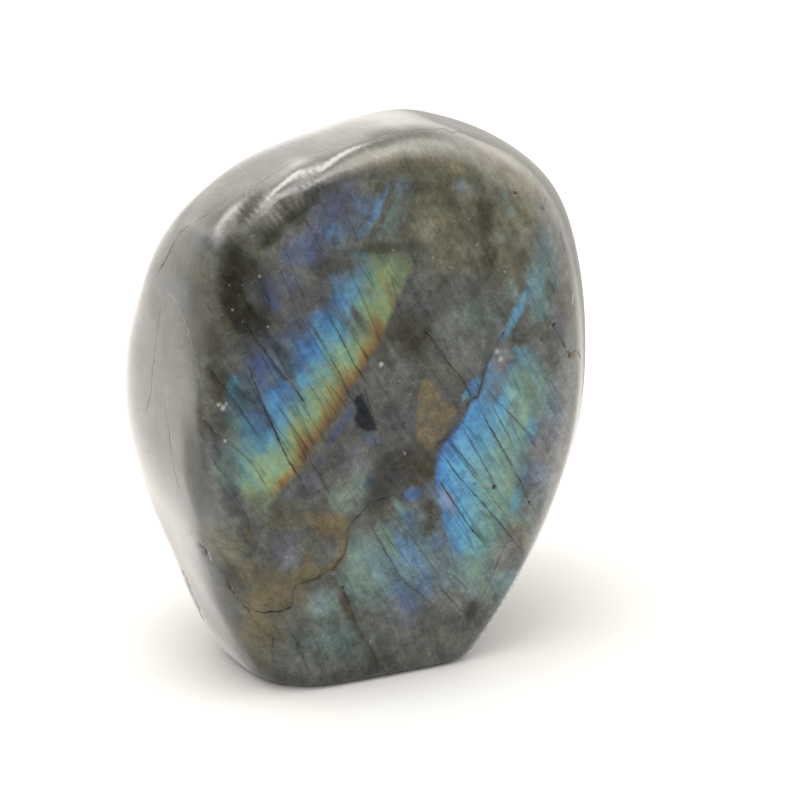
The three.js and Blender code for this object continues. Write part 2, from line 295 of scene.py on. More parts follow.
    ("lq", 0, 0.20, 0.60, 0.02, [(2.8, -26.5, 20.3), (6, -26.2, 18.7), (8.7, -25.8, 15.9),
     (10, -25.6, 14.7)]),
    ("lr", 0, 0.20, 0.60, 0.02, [(-5.1, -28.2, 30.5), (-2.6, -27.7, 27), (0.6, -27, 22.8),
     (3.6, -26.2, 18.7)]),
    ("ls", 0, 0.22, 0.60, 0.05, [(16.3, -27.1, 23.9), (16, -27, 23.2), (14.8, -26.4, 19.7),
     (13.1, -25.6, 14.8), (11.6, -25.1, 11.7), (9.8, -24.5, 8.5)]),
    ("lt", 1, 0.22, 0.40, 0.02, [(10.3, -24.1, 6.8), (10.9, -22.7, 2.4)]),
    ("lu", 1, 0.70, 0.85, 0.10, [(-16.1, -26.6, 20.6), (-15.6, -26.5, 19.6), (-14.2, -25.9, 16.4),
     (-12.4, -25.1, 11.7), (-10.4, -24.5, 8.6), (-8.8, -24.1, 6.1), (-7.5, -23.5, 2.5),
     (-6.7, -22.9, 0.9)]),
    ("lv", 0, 0.45, 0.45, 0.02, [(-25.5, -24.7, 14.2), (-23.3, -24.3, 10.2), (-21.6, -23.5, 6.2),
     (-20.1, -22.7, 2.7)]),
    ("lw", 0, 0.35, 0.50, 0.02, [(-27.4, -23.7, 13), (-27.2, -22.4, 9.7), (-26.1, -20, 4.3)]),
    ("up1", 0, 0.28, 0.80, 0.02, [(-31.8, -29.9, 78.2), (-31.3, -30, 76.8), (-30.4, -30.1, 73.9),
     (-29.7, -30.3, 70.7)]),
    ("up2", 0, 0.24, 0.60, 0.02, [(-24.8, -29.8, 87.9), (-24, -30.2, 86.5), (-22.8, -30.6, 84.8),
     (-21.9, -30.9, 82.9), (-20.8, -31.5, 79.6), (-20, -31.7, 77.7)]),
    ("up3", 0, 0.20, 0.50, 0.02, [(-17.2, -29.7, 89.1), (-16.3, -30.4, 86.4), (-15.3, -30.9, 83.8),
     (-14.1, -31.6, 80.4)]),
    ("up4", 0, 0.30, 0.50, 0.02, [(-34.9, -29.2, 76.9), (-33.8, -29.4, 73.6), (-32.6, -29.6, 70.2)]),
    ("up5", 0, 0.22, 0.50, 0.02, [(-27.8, -30.5, 83), (-26.7, -30.8, 79.9), (-25.4, -31.2, 76),
     (-24.3, -31.4, 72.9)]),
    ("up6", 0, 0.18, 0.45, 0.02, [(-11.9, -29.2, 91.2), (-10.8, -30, 88), (-9.7, -30.7, 84.9)]),
    ("ur1", 0, 0.18, 0.35, 0.02, [(7.5, -29.1, 90.5), (8.1, -29.8, 88.2), (8.8, -30.4, 85.8)]),
    ("ur2", 0, 0.20, 0.40, 0.02, [(25.3, -26.8, 82.1), (26.1, -27.7, 78.1), (26.8, -28.3, 73.9)]),
    ("ur3", 0, 0.20, 0.40, 0.02, [(21.4, -30.4, 76.1), (22.9, -30.4, 72.5), (24.1, -30.4, 67.9)]),
    # painted highlight: the thin pale line where the crisp left edge catches the light
    ("lf_line", 2, 0.30, 0.55, 0.02, [(-43.5, -16.7, 74.1), (-43.2, -19.9, 72.9), (-42.9, -22.4, 70.4),
     (-42.6, -23.8, 67.8), (-42.3, -25.1, 65.5), (-41.9, -26.2, 62.3), (-41, -27.2, 58.2)]),
    ("arc", 1, 0.22, 0.55, 0.02, [(13, -31.7, 63.2), (14.6, -31.7, 62), (16.6, -31.6, 61.5),
     (18.3, -31.5, 61.9), (19.5, -31.4, 62.9)]),
]
# stained patches, as outlines on the face: tone (-1 golden, 0 ochre, 1 dark brown), softness mm, (x, z) mm
STAINS = [
    (-0.20, 0.5, [(-2.9, 56.8), (-2, 57.3), (-0.6, 56.6), (0.3, 55), (1.2, 53.3), (1.8, 52.1),
     (3.2, 51.6), (4.4, 50.7), (4.2, 49.6), (2.8, 48), (2.3, 46.2), (0.8, 45.9), (0.3, 44.3),
     (-1.4, 44.2), (-2.6, 45.6), (-3.7, 47.1), (-3.1, 48.4), (-3.7, 51.7), (-3.6, 54.5)]),
    (0.25, 1.6, [(-32.9, 20.3), (-32.2, 22.5), (-30.5, 24.1), (-28.4, 25.1), (-25.7, 24.6), (-23.6, 25),
     (-22.4, 26.2), (-20.7, 24.4), (-18.2, 23.8), (-19.8, 22.6), (-22.3, 22), (-24.3, 21.7),
     (-25, 20.4), (-25, 18.5), (-26.3, 17), (-29.4, 16.4), (-31.6, 17.5)]),
    (0.10, 0.9, [(-23.1, 28.9), (-23.3, 26.7), (-22.7, 24.7), (-21.1, 23.2), (-19.3, 22.9),
     (-16.9, 23.8), (-15.5, 25.5), (-15.1, 28.3), (-15.2, 31.5), (-15.9, 34.3), (-17.4, 34.9),
     (-19.3, 34.4), (-20.3, 33), (-19.5, 31.1), (-17.8, 30.4), (-16.8, 28.6), (-17.4, 26.6),
     (-19, 25.3), (-20.9, 25.2), (-22, 26.5), (-22.1, 28.2)]),
    (1.00, 0.9, [(-0.6, 35), (0.3, 34.9), (1, 33.6), (0.9, 32.3), (1.8, 30.8), (1.9, 28.9), (0.9, 27.7),
     (-0.3, 27.7), (-1.4, 29), (-0.9, 30.3), (-0.2, 31.3), (-0.5, 33.3)]),
    (0.50, 1.0, [(-12.4, 96.1), (-10.8, 95.4), (-8.8, 94.8), (-5.8, 94.3), (-1.7, 94.2), (1.4, 94.2),
     (4.3, 93.5), (1.8, 92.8), (-2, 92.8), (-6.1, 93.1), (-9.2, 93.6), (-11.4, 94.3), (-13.2, 95.1)]),
    (-0.30, 0.4, [(-38.5, 73.5), (-37.8, 73.5), (-37.5, 72.8), (-38.2, 72.5)]),
    (0.00, 0.5, [(-32.7, 21.7), (-30.1, 19.7), (-28.7, 18), (-28.4, 15.3), (-29.7, 15.7), (-31.3, 17.5)]),
]
STONES = {
    "soot": (44, 42, 34), "night": (40, 43, 50), "umber": (70, 67, 57), "slate": (82, 84, 86),
    "steel": (98, 100, 98), "moss": (86, 84, 68), "olive": (102, 100, 84), "sand": (122, 117, 98),
    "fog": (112, 115, 109), "silver": (130, 130, 129), "ochre": (118, 106, 82), "bronze": (92, 83, 62),
    "tan": (146, 126, 92), "mist_and_highlight": (148, 145, 132), "lilac": (122, 122, 130),
    "bluegrey": (102, 116, 128), "tealgrey": (102, 118, 113), "paleteal": (120, 132, 127),
    "deepteal": (58, 76, 72), "rust": (84, 66, 54), "lavender": (136, 152, 180), "dusk": (62, 60, 62),
    "gold": (140, 116, 78),
}
# soft patches of body colour, a few of them painted highlights: stone, cover, edge power, centre and two half axes (mm)
TINTS = [
    ("olive", 0.75, 1.2, (5.2, -31.1, 83), (15.3, -1.3, -8.8), (-6.2, -1.7, -8.2)),
    ("sand", 0.45, 1, (15, -30.8, 82.1), (11.2, 0.4, -4.7), (-4.1, -1.6, -7.4)),
    ("moss", 0.55, 1, (1, -30.1, 87.5), (7.4, -0.1, -0.6), (-0.7, -1.4, -5.5)),
    ("umber", 0.80, 1.1, (9.1, -30.9, 83.2), (1.7, 0, -0.2), (-0.4, -0.9, -4.9)),
    ("umber", 0.35, 1.5, (8.7, -30.3, 86.3), (2.7, 0, -0.2), (-0.1, -0.3, -1.1)),
    ("fog", 0.60, 1.5, (5.3, -29.7, 88.8), (2.1, 0, -0.2), (-0.2, -0.5, -1.8)),
    ("fog", 0.40, 1, (14.5, -29.9, 86.3), (2, 0.2, -0.2), (-0.6, -1.3, -4.2)),
    ("tealgrey", 0.50, 1.2, (21.8, -30.4, 74.9), (5.1, 1.3, -0.8), (-0.4, -0.9, -6.8)),
    ("umber", 0.35, 1.2, (11.8, -31.6, 76.1), (4.5, 0.1, -3.8), (-2.1, -0.2, -1.9)),
    ("sand", 0.40, 1.2, (3, -31.9, 77.1), (4.3, 0, -2.7), (-1.4, -0.2, -1.9)),
    ("moss", 0.60, 1.2, (-0.2, -28.7, 92.4), (11.2, 0, -0.9), (-0.2, -0.5, -1.4)),
    ("olive", 0.50, 1.5, (5, -28.8, 91.7), (6.7, -0.1, -1.1), (-0.5, -0.6, -1.5)),
    ("steel", 0.50, 1.2, (0.1, -32, 72.2), (10.7, 0.2, -1.2), (0.1, 0.2, -4.9)),
    ("fog", 0.55, 1.3, (3.2, -31.6, 63.5), (6.5, 0, -2.9), (-1.6, 0.2, -4.2)),
    ("umber", 0.35, 1.3, (1.6, -32, 73.8), (2, 0, 1.3), (0.7, 0, -0.9)),
    ("umber", 0.40, 1.3, (-3.7, -32, 71.3), (0.6, 0, 0.3), (2.6, 0.3, -4.2)),
    ("umber", 0.40, 1.3, (0.5, -31.4, 60.9), (0.6, 0, 0.3), (3.2, 0.2, -4.9)),
    ("slate", 0.40, 1.3, (6.1, -31.6, 62.2), (0.6, 0, 0.3), (2.8, 0.1, -4.2)),
    ("fog", 0.45, 1.3, (-7.4, -31.3, 61.2), (0.6, 0, 0.3), (2.2, 0.2, -3.6)),
    ("umber", 0.40, 1.3, (-9, -30.7, 52.4), (0.5, 0, 0.2), (1.9, 0.3, -3.4)),
    ("umber", 0.40, 1.3, (-5.9, -30.9, 54.7), (0.5, 0, 0.2), (1.9, 0.2, -3.4)),
    ("tealgrey", 0.40, 1.3, (7.9, -31.8, 66.8), (4.4, 0.1, -1.9), (-1.3, 0.1, -3.2)),
    ("umber", 0.75, 1.5, (-4.9, -31.6, 65.3), (3.4, -0.1, 1.1), (2.2, 0.3, -4.4)),
    ("steel", 0.55, 1.5, (-7.3, -31.1, 57.2), (4.2, -0.1, 0.9), (2.1, 0.3, -5.3)),
    ("slate", 0.40, 1.2, (-1.7, -31.8, 68.9), (3.4, 0, -0.4), (0.1, 0.1, -2.1)),
    ("olive", 0.45, 1.3, (2.5, -31.3, 57.8), (3.1, 0, -0.4), (0.1, 0.2, -2.9)),
    ("slate", 0.60, 1.3, (-6.7, -30.6, 50.7), (3.8, 0, -0.5), (0.2, 0.3, -3.3)),
    ("dusk", 0.45, 1.2, (-6.5, -29.5, 41.5), (4.5, -0.3, 2), (1.7, 0.3, -2.8)),
    ("umber", 0.40, 1.2, (-3.2, -29.7, 42.1), (3, -0.1, 0.1), (0.6, 0.3, -2.5)),
    ("steel", 0.60, 1.3, (-11.7, -30.1, 47.4), (2.6, 0, -0.4), (0.1, 0.2, -1.8)),
    ("lilac", 0.55, 1.3, (-14.7, -29.6, 43.7), (3, 0, -0.4), (0.1, 0.3, -2.6)),
    ("paleteal", 0.60, 1.3, (-16, -28.8, 36.9), (4.3, -0.3, 1.4), (1.4, 0.3, -2.9)),
    ("slate", 0.45, 1.3, (-24.1, -29, 39.6), (2.2, -0.2, 1), (0.8, 0.2, -1.4)),
    ("umber", 0.45, 1.3, (-8.8, -28.7, 34.9), (4, -0.1, 0.5), (0.7, 0.2, -2.1)),
    ("moss", 0.60, 1.4, (-20.4, -28.6, 36), (2.5, -0.2, 1.1), (1, 0.2, -1.8)),
    ("moss", 0.60, 1.3, (-27.5, -28.1, 34.3), (3.6, -0.5, 1.7), (1.2, 0.3, -2.1)),
    ("bronze", 0.45, 1.3, (-23.5, -28.3, 34.3), (2.7, -0.2, 0.6), (0.6, 0.2, -1.7)),
    ("soot", 0.92, 1.4, (-35.5, -29, 76.6), (2.8, -0.7, -0.7), (-1.1, 0.3, -5.8)),
    ("soot", 0.85, 1.3, (-32.7, -29.6, 70.2), (2.5, -0.5, -2.8), (-2.8, 0.7, -2.7)),
    ("soot", 0.50, 1.3, (-31.7, -29.9, 77.8), (1.4, -0.3, 0.8), (1.7, -0.4, -3.3)),
    ("night", 0.50, 1.3, (-31.1, -30, 73.8), (1.2, -0.3, 0.4), (1.1, -0.2, -3.2)),
    ("soot", 0.50, 1.3, (-38.7, -28.2, 61.1), (1, -0.3, 0.4), (1.4, -0.4, -3.5)),
    ("umber", 0.40, 1.2, (-41, -26.9, 53), (1.2, -1.3, 0.7), (1.1, -0.7, -4.9)),
    ("slate", 0.55, 1.2, (-41.4, -25, 44.8), (1, -2.7, 1.1), (1.3, -0.5, -7.2)),
    ("umber", 0.35, 1.2, (-40.3, -26.8, 45.8), (1, -0.9, 0.5), (1.3, -0.2, -5.1)),
    ("soot", 0.85, 1.3, (-32.5, -26.5, 88.5), (3.6, 1.6, 3.1), (0.7, -1.8, -0.7)),
    # the next two mist patches are partly painted highlight: they lighten the lower ends of the shoulder's highlight
    # streaks
    ("mist_and_highlight", 0.50, 1.3, (-28.9, -29.2, 88), (1.6, 0.3, 1.4), (0.6, -0.5, -0.6)),
    ("mist_and_highlight", 0.35, 1.3, (-25.3, -29.4, 88.9), (2, 0.4, 1.3), (0.4, -0.3, -0.6)),
    ("umber", 0.60, 1.4, (-32.8, -27.2, 87.9), (3.7, 1, 3.4), (0.5, -1, -0.5)),
    ("umber", 0.40, 1.2, (-31.4, -26.4, 89.2), (6.3, 2.5, 4.4), (0.6, -2.6, -1)),
    ("umber", 0.70, 1.4, (-22.3, -27.6, 91.8), (3.9, 1.5, 2.1), (0.2, -0.7, -0.4)),
    ("soot", 0.45, 1.3, (-33.4, -29.4, 65.5), (1.3, -0.3, 0.6), (0.8, -0.2, -1.9)),
    ("paleteal", 0.55, 1.3, (13.9, -31.6, 71), (1.6, 0.1, 0.1), (0.5, 0, -2.6)),
    ("lavender", 0.80, 1.3, (3.3, -28.9, 34.2), (1.7, 0, 0), (0.5, 0.2, -2.1)),
    ("umber", 0.55, 1.3, (-14.2, -27.9, 93.3), (4.2, 0, 0.8), (-0.1, -0.7, -0.8)),
    ("umber", 0.35, 1.2, (-24.8, -20.7, 93), (3, 0, 1), (-0.6, -2.9, -0.7)),
    ("slate", 0.40, 1.2, (-11.7, -30.4, 86.7), (1.8, 0, -0.2), (-0.2, -0.4, -1.9)),
    ("umber", 0.30, 1.3, (-26.4, -19, 92.7), (2.3, 0, 0.8), (-0.4, -1.8, -0.4)),
    ("sand", 0.35, 1.3, (-30.3, -20.9, 91), (1.3, -0.4, 0.5), (-0.5, -1.8, -0.4)),
    ("umber", 0.25, 1.3, (-23.1, -20.9, 93.5), (1.5, -0.6, 0.4), (-0.4, -1.4, -0.4)),
    ("steel", 0.40, 1.2, (-43, -20.9, 73.1), (0.5, -3.2, 0.9), (0.1, -1.6, -4)),
    ("umber", 0.35, 1.3, (-42.4, -25, 73.9), (0.3, -1.1, 0.3), (0.1, -1.2, -4.1)),
    ("soot", 0.55, 1.2, (-35.6, -28.7, 82.3), (1.8, -0.7, 0), (-0.2, -0.3, -1.9)),
    ("slate", 0.50, 1.2, (-32.1, -29.8, 73.9), (1.8, -0.4, 0.6), (1.3, -0.2, -3.9)),
    ("soot", 0.70, 1.5, (-30.8, -30, 68), (0.5, -0.1, 0.2), (3.5, -0.7, -6.7)),
    ("soot", 0.50, 1.5, (-28.1, -30.6, 64.8), (0.3, -0.1, 0.2), (2.8, -0.6, -4.3)),
    ("umber", 0.60, 1.4, (-33.3, -29.5, 79.3), (0.7, -0.2, 0.4), (1.1, -0.3, -1.7)),
    ("bronze", 0.35, 1.4, (-38.6, -28.2, 74.2), (0.6, -0.2, 0), (0.1, 0, -1.5)),
    ("bronze", 0.35, 1.4, (-37.2, -28.6, 70.5), (0.6, -0.1, 0.2), (0.6, -0.1, -1.6)),
    ("olive", 0.50, 1.4, (-35.7, -28.9, 67.7), (0.5, -0.1, 0.4), (0.8, -0.2, -1.3)),
    ("fog", 0.35, 1.4, (-39.3, -28, 76.7), (0.5, -0.2, 0), (-0.1, -0.2, -3.6)),
    ("olive", 0.40, 1.2, (-42.6, -17, 79.3), (0.5, -5.9, 0.7), (-0.9, -0.3, -3.5)),
    ("fog", 0.45, 1.4, (-42.1, -22, 79.6), (0.2, -1.1, 0.1), (-0.7, -0.4, -3.2)),
    ("umber", 0.50, 1.4, (-41.3, -26.1, 78.7), (0.4, -0.7, 0.1), (-0.7, -0.8, -3.4)),
    ("slate", 0.45, 1.4, (-40, -26.8, 80.4), (0.5, -0.5, 0), (-0.8, -0.7, -2.7)),
    ("olive", 0.40, 1.3, (-40.5, -27.2, 78.3), (1.8, -1.5, -0.3), (-1.4, -0.5, -5.3)),
    ("moss", 0.40, 1.2, (-41.9, -26.6, 71.2), (1.4, -2.5, 0.7), (0.5, -0.9, -6.5)),
    ("umber", 0.60, 1.3, (-39.4, -28, 66.7), (1.5, -0.4, 0.5), (1.5, -0.4, -4.8)),
    ("umber", 0.70, 1.3, (-38.1, -28.3, 59.4), (2.1, -0.5, 1.2), (2.1, -0.5, -3.9)),
    ("slate", 0.50, 1.2, (-37.7, -28.4, 55.2), (2.7, -0.7, 0.9), (0.6, -0.1, -2)),
    ("steel", 0.50, 1.2, (-38.2, -28.2, 50.4), (2.5, -0.7, -0.1), (0, 0.1, -2.8)),
    ("soot", 0.62, 1.5, (-24.2, -29.7, 88.5), (7.8, 1, 4.4), (0.7, -0.4, -1)),
    ("soot", 0.60, 1.3, (-29.6, -30.1, 84), (2.1, -0.2, 1.5), (0.8, -0.2, -1)),
    ("olive", 0.35, 1.3, (-31.9, -29.8, 82.2), (2.1, -0.6, -2.5), (-0.7, 0.1, -0.6)),
    ("umber", 0.60, 1.2, (-33.3, -29.5, 78.1), (2.2, -0.5, -0.1), (0, 0, -2.3)),
    ("umber", 0.75, 1.4, (-11.6, -31.6, 80.5), (7.2, -0.1, -0.1), (0, -0.2, -1.3)),
    ("umber", 0.75, 1.4, (-18.9, -31.7, 78.6), (5.2, -0.3, -0.5), (-0.1, -0.2, -1.8)),
    ("slate", 0.45, 1.2, (-20.5, -30.9, 83.3), (4.6, 0.5, 3.5), (3, -0.7, -3.2)),
    ("slate", 0.40, 1.2, (-15.8, -30.5, 86.1), (4.1, 0.6, 3), (2.7, -0.7, -3)),
    ("slate", 0.40, 1.2, (-6.5, -30.2, 87.3), (4.3, -0.2, -1), (-1.3, -1, -4)),
    ("slate", 0.55, 1.3, (-23.6, -31.5, 74.7), (4.1, -0.6, 1.2), (0.9, -0.2, -2.6)),
    ("slate", 0.45, 1.3, (-26.9, -30.9, 70.5), (2.1, -0.5, 2.5), (3, -0.7, -2.8)),
    ("slate", 0.50, 1.3, (-32.6, -29.6, 66.3), (2.5, -0.5, -2.8), (-2.6, 0.6, -2.5)),
    ("steel", 0.35, 1.3, (-36.7, -28.6, 63.7), (2, -0.5, -2.3), (-2.3, 0.5, -2.2)),
    ("slate", 0.75, 1.2, (-35.8, -27.6, 38.6), (2.4, -0.8, 0.7), (1.5, 0.3, -4.7)),
    ("fog", 0.60, 1.3, (-38.7, -25.4, 35.7), (1.7, -2, 0.3), (0.5, 1.5, -4.8)),
    ("steel", 0.60, 1.3, (-31, -27.2, 31), (4, -0.2, -2), (-0.7, 0.6, -2.4)),
    ("lilac", 0.60, 1.3, (-26.3, -27.4, 29.4), (2.3, 0.1, -1.6), (-1.3, 0.5, -2.4)),
    ("slate", 0.60, 1.2, (-28.3, -27.3, 29.7), (3.1, 0, -1.6), (-1, 0.7, -3.4)),
    ("sand", 0.50, 1.3, (-37, -24.1, 29.7), (1.9, -2.5, 0.5), (0.6, 1.7, -3.9)),
    ("umber", 0.45, 1.2, (-34.1, -23.8, 24.1), (1.1, -2, 1.9), (2.7, -0.3, -4.1)),
    ("sand", 0.50, 1.2, (-30.8, -24.6, 20.7), (3.4, -1.7, 0), (0.3, 0.9, -3.3)),
    ("bronze", 0.45, 1.2, (-29.1, -26, 24), (3, -0.1, -3), (-1.6, 0.8, -2.2)),
    ("tan", 0.45, 1.3, (-16.6, -27.9, 29.5), (1.1, 0, -0.3), (-0.4, 0.5, -4.4)),
    ("tan", 0.45, 1.3, (-23.6, -26.9, 24.5), (2.4, -0.4, 1.2), (0.7, 0.1, -1.3)),
    ("tan", 0.28, 1.3, (-28.1, -25.7, 21), (3.6, -1.2, 1.5), (0.7, 0.2, -1.7)),
    ("tan", 0.28, 1.3, (-31.2, -23.3, 18), (2.1, -1, -1.5), (-0.5, 1.2, -1.9)),
    ("umber", 0.40, 1.3, (-30.4, -25.5, 23.3), (0.7, -0.3, 0.5), (1, 0.1, -1.8)),
    ("moss", 0.40, 1.3, (-26.6, -25.7, 19.5), (1, -0.2, -0.1), (0.1, 0.3, -1.6)),
    ("sand", 0.45, 1.2, (-35.8, -25.7, 30.9), (1.5, -1.1, 0.7), (2.1, 1.3, -6.6)),
    ("tan", 0.30, 1.2, (-32.5, -25.3, 25.4), (1.5, -1.1, 1.2), (1.3, 0.2, -2.5)),
    ("sand", 0.35, 1.2, (-24.4, -28.2, 34.4), (4.1, -0.3, 0.9), (0.6, 0.2, -1.7)),
    ("gold", 0.80, 1.2, (-19.2, -28.2, 32.9), (2.6, -0.2, 0.6), (0.8, 0.2, -2)),
    ("sand", 0.50, 1.2, (-21.9, -27.6, 28.6), (1.6, -0.1, -0.2), (0.1, 0.3, -2.3)),
    ("dusk", 0.45, 1.2, (-17.9, -29.7, 44.7), (3.4, 0, -0.5), (0.1, 0.3, -2.2)),
    ("paleteal", 0.50, 1.2, (-15, -29.1, 39.1), (1.4, 0.1, -1.2), (-3.5, 0.6, -4.2)),
    ("slate", 0.50, 1.2, (-23, -29, 39.8), (1.7, -0.1, 0.8), (0.7, 0.2, -1.2)),
    ("fog", 0.60, 1.4, (-19.9, -27.7, 28.3), (2, -0.1, -0.3), (0.1, 0.2, -2.1)),
    ("bronze", 0.60, 1.3, (-28.8, -21.2, 10), (2.8, -3.2, 0.6), (1.3, 3.3, -7.4)),
    ("sand", 0.50, 1.2, (-30.6, -21.2, 13.1), (1.7, -2.3, 0.5), (0.7, 1.8, -4.1)),
    ("olive", 0.50, 1.3, (-23.4, -26.3, 20.6), (2.2, -0.1, -0.3), (0.1, 0.3, -1.8)),
    ("paleteal", 0.80, 1.2, (-11.1, -27.1, 23.2), (6.1, 0.5, -2.7), (-1.8, 1.4, -8.7)),
    ("tealgrey", 0.75, 1.1, (-2, -27.1, 23.2), (6.7, 0.5, -2.9), (-1.7, 1.7, -9.2)),
    ("mist_and_highlight", 0.22, 1.1, (-1.1, -26.5, 20.1), (4, -0.1, 0.8), (2.3, 1, -5.3)),
    ("paleteal", 0.60, 1.1, (7.6, -26.4, 19.6), (6, 0.4, -2.6), (-1.5, 1.4, -8.2)),
    ("paleteal", 0.75, 1.3, (-18.7, -26.1, 17.7), (4.6, 0, -0.8), (0.2, 0.6, -3.2)),
    ("tealgrey", 0.60, 1.2, (-15.8, -24.6, 9.4), (9, 0.3, -1.7), (0.4, 1, -5.5)),
    ("fog", 0.70, 1.1, (0.5, -24.2, 6.4), (11.2, 0.3, -0.6), (1.2, 1, -5.5)),
    ("fog", 0.55, 1.1, (-22.6, -23.3, 6.4), (7.4, -2.3, -0.5), (0.6, 1.4, -4.4)),
    ("lilac", 0.55, 1.2, (-1.5, -24.9, 10.8), (2.8, 0.1, -0.5), (0.1, 0.3, -1.6)),
    ("slate", 0.30, 1.5, (-16.6, -22.8, 1.3), (11.1, -1.1, -0.6), (0.6, 1, -1.8)),
    ("mist_and_highlight", 0.40, 1.1, (17.5, -26.8, 22.9), (4.3, 0.6, -1.8), (-1.5, 1.2, -8.2)),
    ("bluegrey", 0.45, 1.2, (1.6, -25.8, 16.2), (5.5, -0.2, 1.1), (2.1, 0.8, -4.9)),
    ("bluegrey", 0.55, 1.2, (-5.2, -25.6, 14.7), (4.3, 0, 0), (0.9, 0.6, -3.7)),
    ("silver", 0.50, 1.2, (228.4, 326.8, -136.7), (3.9, -2.9, -1.4), (-4.5, -1.6, -9.7)),
    ("mist_and_highlight", 0.45, 1.2, (21, -27.4, 28.1), (2.5, 0.5, -1), (-0.7, 0.6, -4.5)),
    ("fog", 0.55, 1.2, (-21, -25, 12.4), (2.5, -0.2, 0.1), (0.7, 0.5, -3.1)),
    ("fog", 0.55, 1.2, (197.6, 326.2, -163.6), (14, 7.9, -5.5), (4.6, 8.5, -9.4)),
    ("fog", 0.45, 1.2, (2.8, -23.6, 3.4), (5, 0.3, -1), (0.3, 0.6, -3)),
    ("bluegrey", 0.80, 1.2, (0.5, -29, 36), (1.7, 0, 0), (0.6, 0.3, -2.5)),
    ("mist_and_highlight", 0.45, 1.2, (5.7, -25.6, 14.7), (4.4, -0.2, 0.9), (1.6, 0.6, -3.7)),
    ("mist_and_highlight", 0.55, 1.2, (228.6, 327.2, -135.4), (4.4, -3.3, -1.7), (-4.8, -1.3, -9.6)),
    ("mist_and_highlight", 0.45, 1.2, (197.6, 327.6, -165.7), (10.9, 0.8, -0.5), (4, 5.6, -8.2)),
    ("mist_and_highlight", 0.40, 1.2, (211.4, 327.7, -155.8), (6, -0.4, -3), (-2.7, 0, -6.8)),
    ("sand", 0.50, 1.2, (-18.6, -28.1, 31.7), (2.4, 0, -0.4), (0.1, 0.2, -2.3)),
    ("mist_and_highlight", 0.30, 1.2, (-4.2, -25.5, 14.5), (3.5, 0, 0), (0.7, 0.5, -2.9)),
    ("silver", 0.40, 1.2, (23.2, -30.7, 66.3), (1.9, 0.5, -0.3), (0, -0.1, -4.2)),
    ("fog", 0.50, 1.2, (19.5, -31.4, 61.5), (3.8, 0.4, -0.5), (0.1, 0.1, -2.2)),
    ("fog", 0.50, 1.3, (-7.4, -28.5, 33.4), (1.9, 0, -0.3), (0.1, 0.2, -1.7)),
    ("fog", 0.35, 1.2, (-26.4, -28.8, 38.4), (2.5, 0, -0.4), (0.1, 0.4, -2.6)),
    ("fog", 0.35, 1.2, (-39.5, -26.5, 41.8), (1.1, -1, 0.6), (1, 0, -3.5)),
    ("soot", 0.65, 1.5, (10.8, -24.9, 10.5), (1.2, 0.2, -0.8), (-1.5, 0.6, -3.3)),
    ("silver", 0.55, 1.2, (15.4, -26.3, 19), (2.7, 0.4, -1.8), (-2.7, 0.8, -5.5)),
    ("silver", 0.45, 1.2, (17.1, -24.5, 11.6), (292.5, 524.9, -230.6), (-1.8, 0.9, -4.1)),
    ("fog", 0.45, 1.2, (-9, -25.4, 13.6), (5.9, 0.2, -1.1), (0.4, 0.9, -5.3)),
    ("umber", 0.45, 1.3, (-14, -25.8, 15.5), (1.4, -0.1, 0.4), (2.9, 1.1, -5.9)),
    ("silver", 0.45, 1.2, (25.2, -29.6, 49.6), (3.6, 1, -1), (-0.4, 0.8, -11.5)),
    ("silver", 0.55, 1.2, (23.3, -28.4, 36.5), (3.8, 1, -1.4), (-1, 1.1, -7.8)),
    ("umber", 0.25, 1.2, (21, -31.2, 62.4), (2, 0.3, -0.3), (0, 0, -1.4)),
    ("moss", 0.30, 1.3, (18.9, -31.5, 62.7), (2.9, 0.3, -0.4), (0, 0, -0.9)),
    ("bronze", 0.80, 1.5, (27.5, -29.1, 57.3), (1.7, 0.9, -0.4), (0, 0, -0.9)),
    ("silver", 0.85, 1.4, (12.2, -31.6, 58.9), (2.1, 0, -0.6), (-0.4, 0.2, -2.8)),
    ("lavender", 0.85, 1.2, (3.5, -28.8, 33.4), (1.4, -0.1, 0.4), (1.9, 0.5, -4)),
    ("silver", 0.65, 1.2, (23.3, -29.3, 42.3), (3.5, 0.8, -1.1), (-0.7, 1.5, -12.4)),
    ("silver", 0.30, 1.2, (23.5, -30.7, 62.7), (1.4, 0.4, -0.2), (0.2, 0.1, -4.7)),
    ("moss", 0.35, 1.3, (12.6, -30.7, 49.6), (1.4, 0, 0.4), (1.8, 0.4, -3.3)),
    # the next two patches are partly painted highlight: they paint the pale highlight band along the crown into the
    # colour
    ("mist_and_highlight", 0.55, 1.4, (0.9, -26.5, 96), (9, 0.8, -0.4), (-0.5, -1.2, -1.1)),
    ("sand", 0.35, 1.2, (0.9, -26.5, 96), (9, 0.8, -0.4), (-0.6, -1.4, -1.3)),
    ("sand", 0.50, 1.2, (-8.5, -26.9, 95.3), (5.2, -0.4, 0.5), (-0.4, -1.3, -1.2)),
    ("umber", 0.35, 1.2, (13.8, -24.5, 94), (3.6, 0.5, -1.2), (-1.9, -2.8, -0.7)),
    ("sand", 0.60, 1.3, (15.1, -24.4, 93.6), (7.5, 2, -2.3), (-2.3, -3.4, -0.8)),
    ("sand", 0.55, 1.3, (7.6, -28.2, 92.6), (11.4, 0.2, -2.4), (-0.7, -0.9, -1.3)),
    ("sand", 0.50, 1.2, (16.8, -27.3, 90.4), (4.5, -0.7, -3.2), (-3.8, -3.3, -1.7)),
    ("mist_and_highlight", 0.30, 1.2, (22.7, -27.5, 85.1), (5.1, 3.7, -0.2), (1.3, -2, -5.3)),
    ("umber", 0.55, 1.3, (9.2, -30.3, 86.1), (1.4, -0.1, -0.6), (-0.5, -0.2, -0.9)),
    ("umber", 0.40, 1.3, (9.5, -30.9, 83.3), (1.2, 0, -0.2), (-0.3, -0.3, -1.8)),
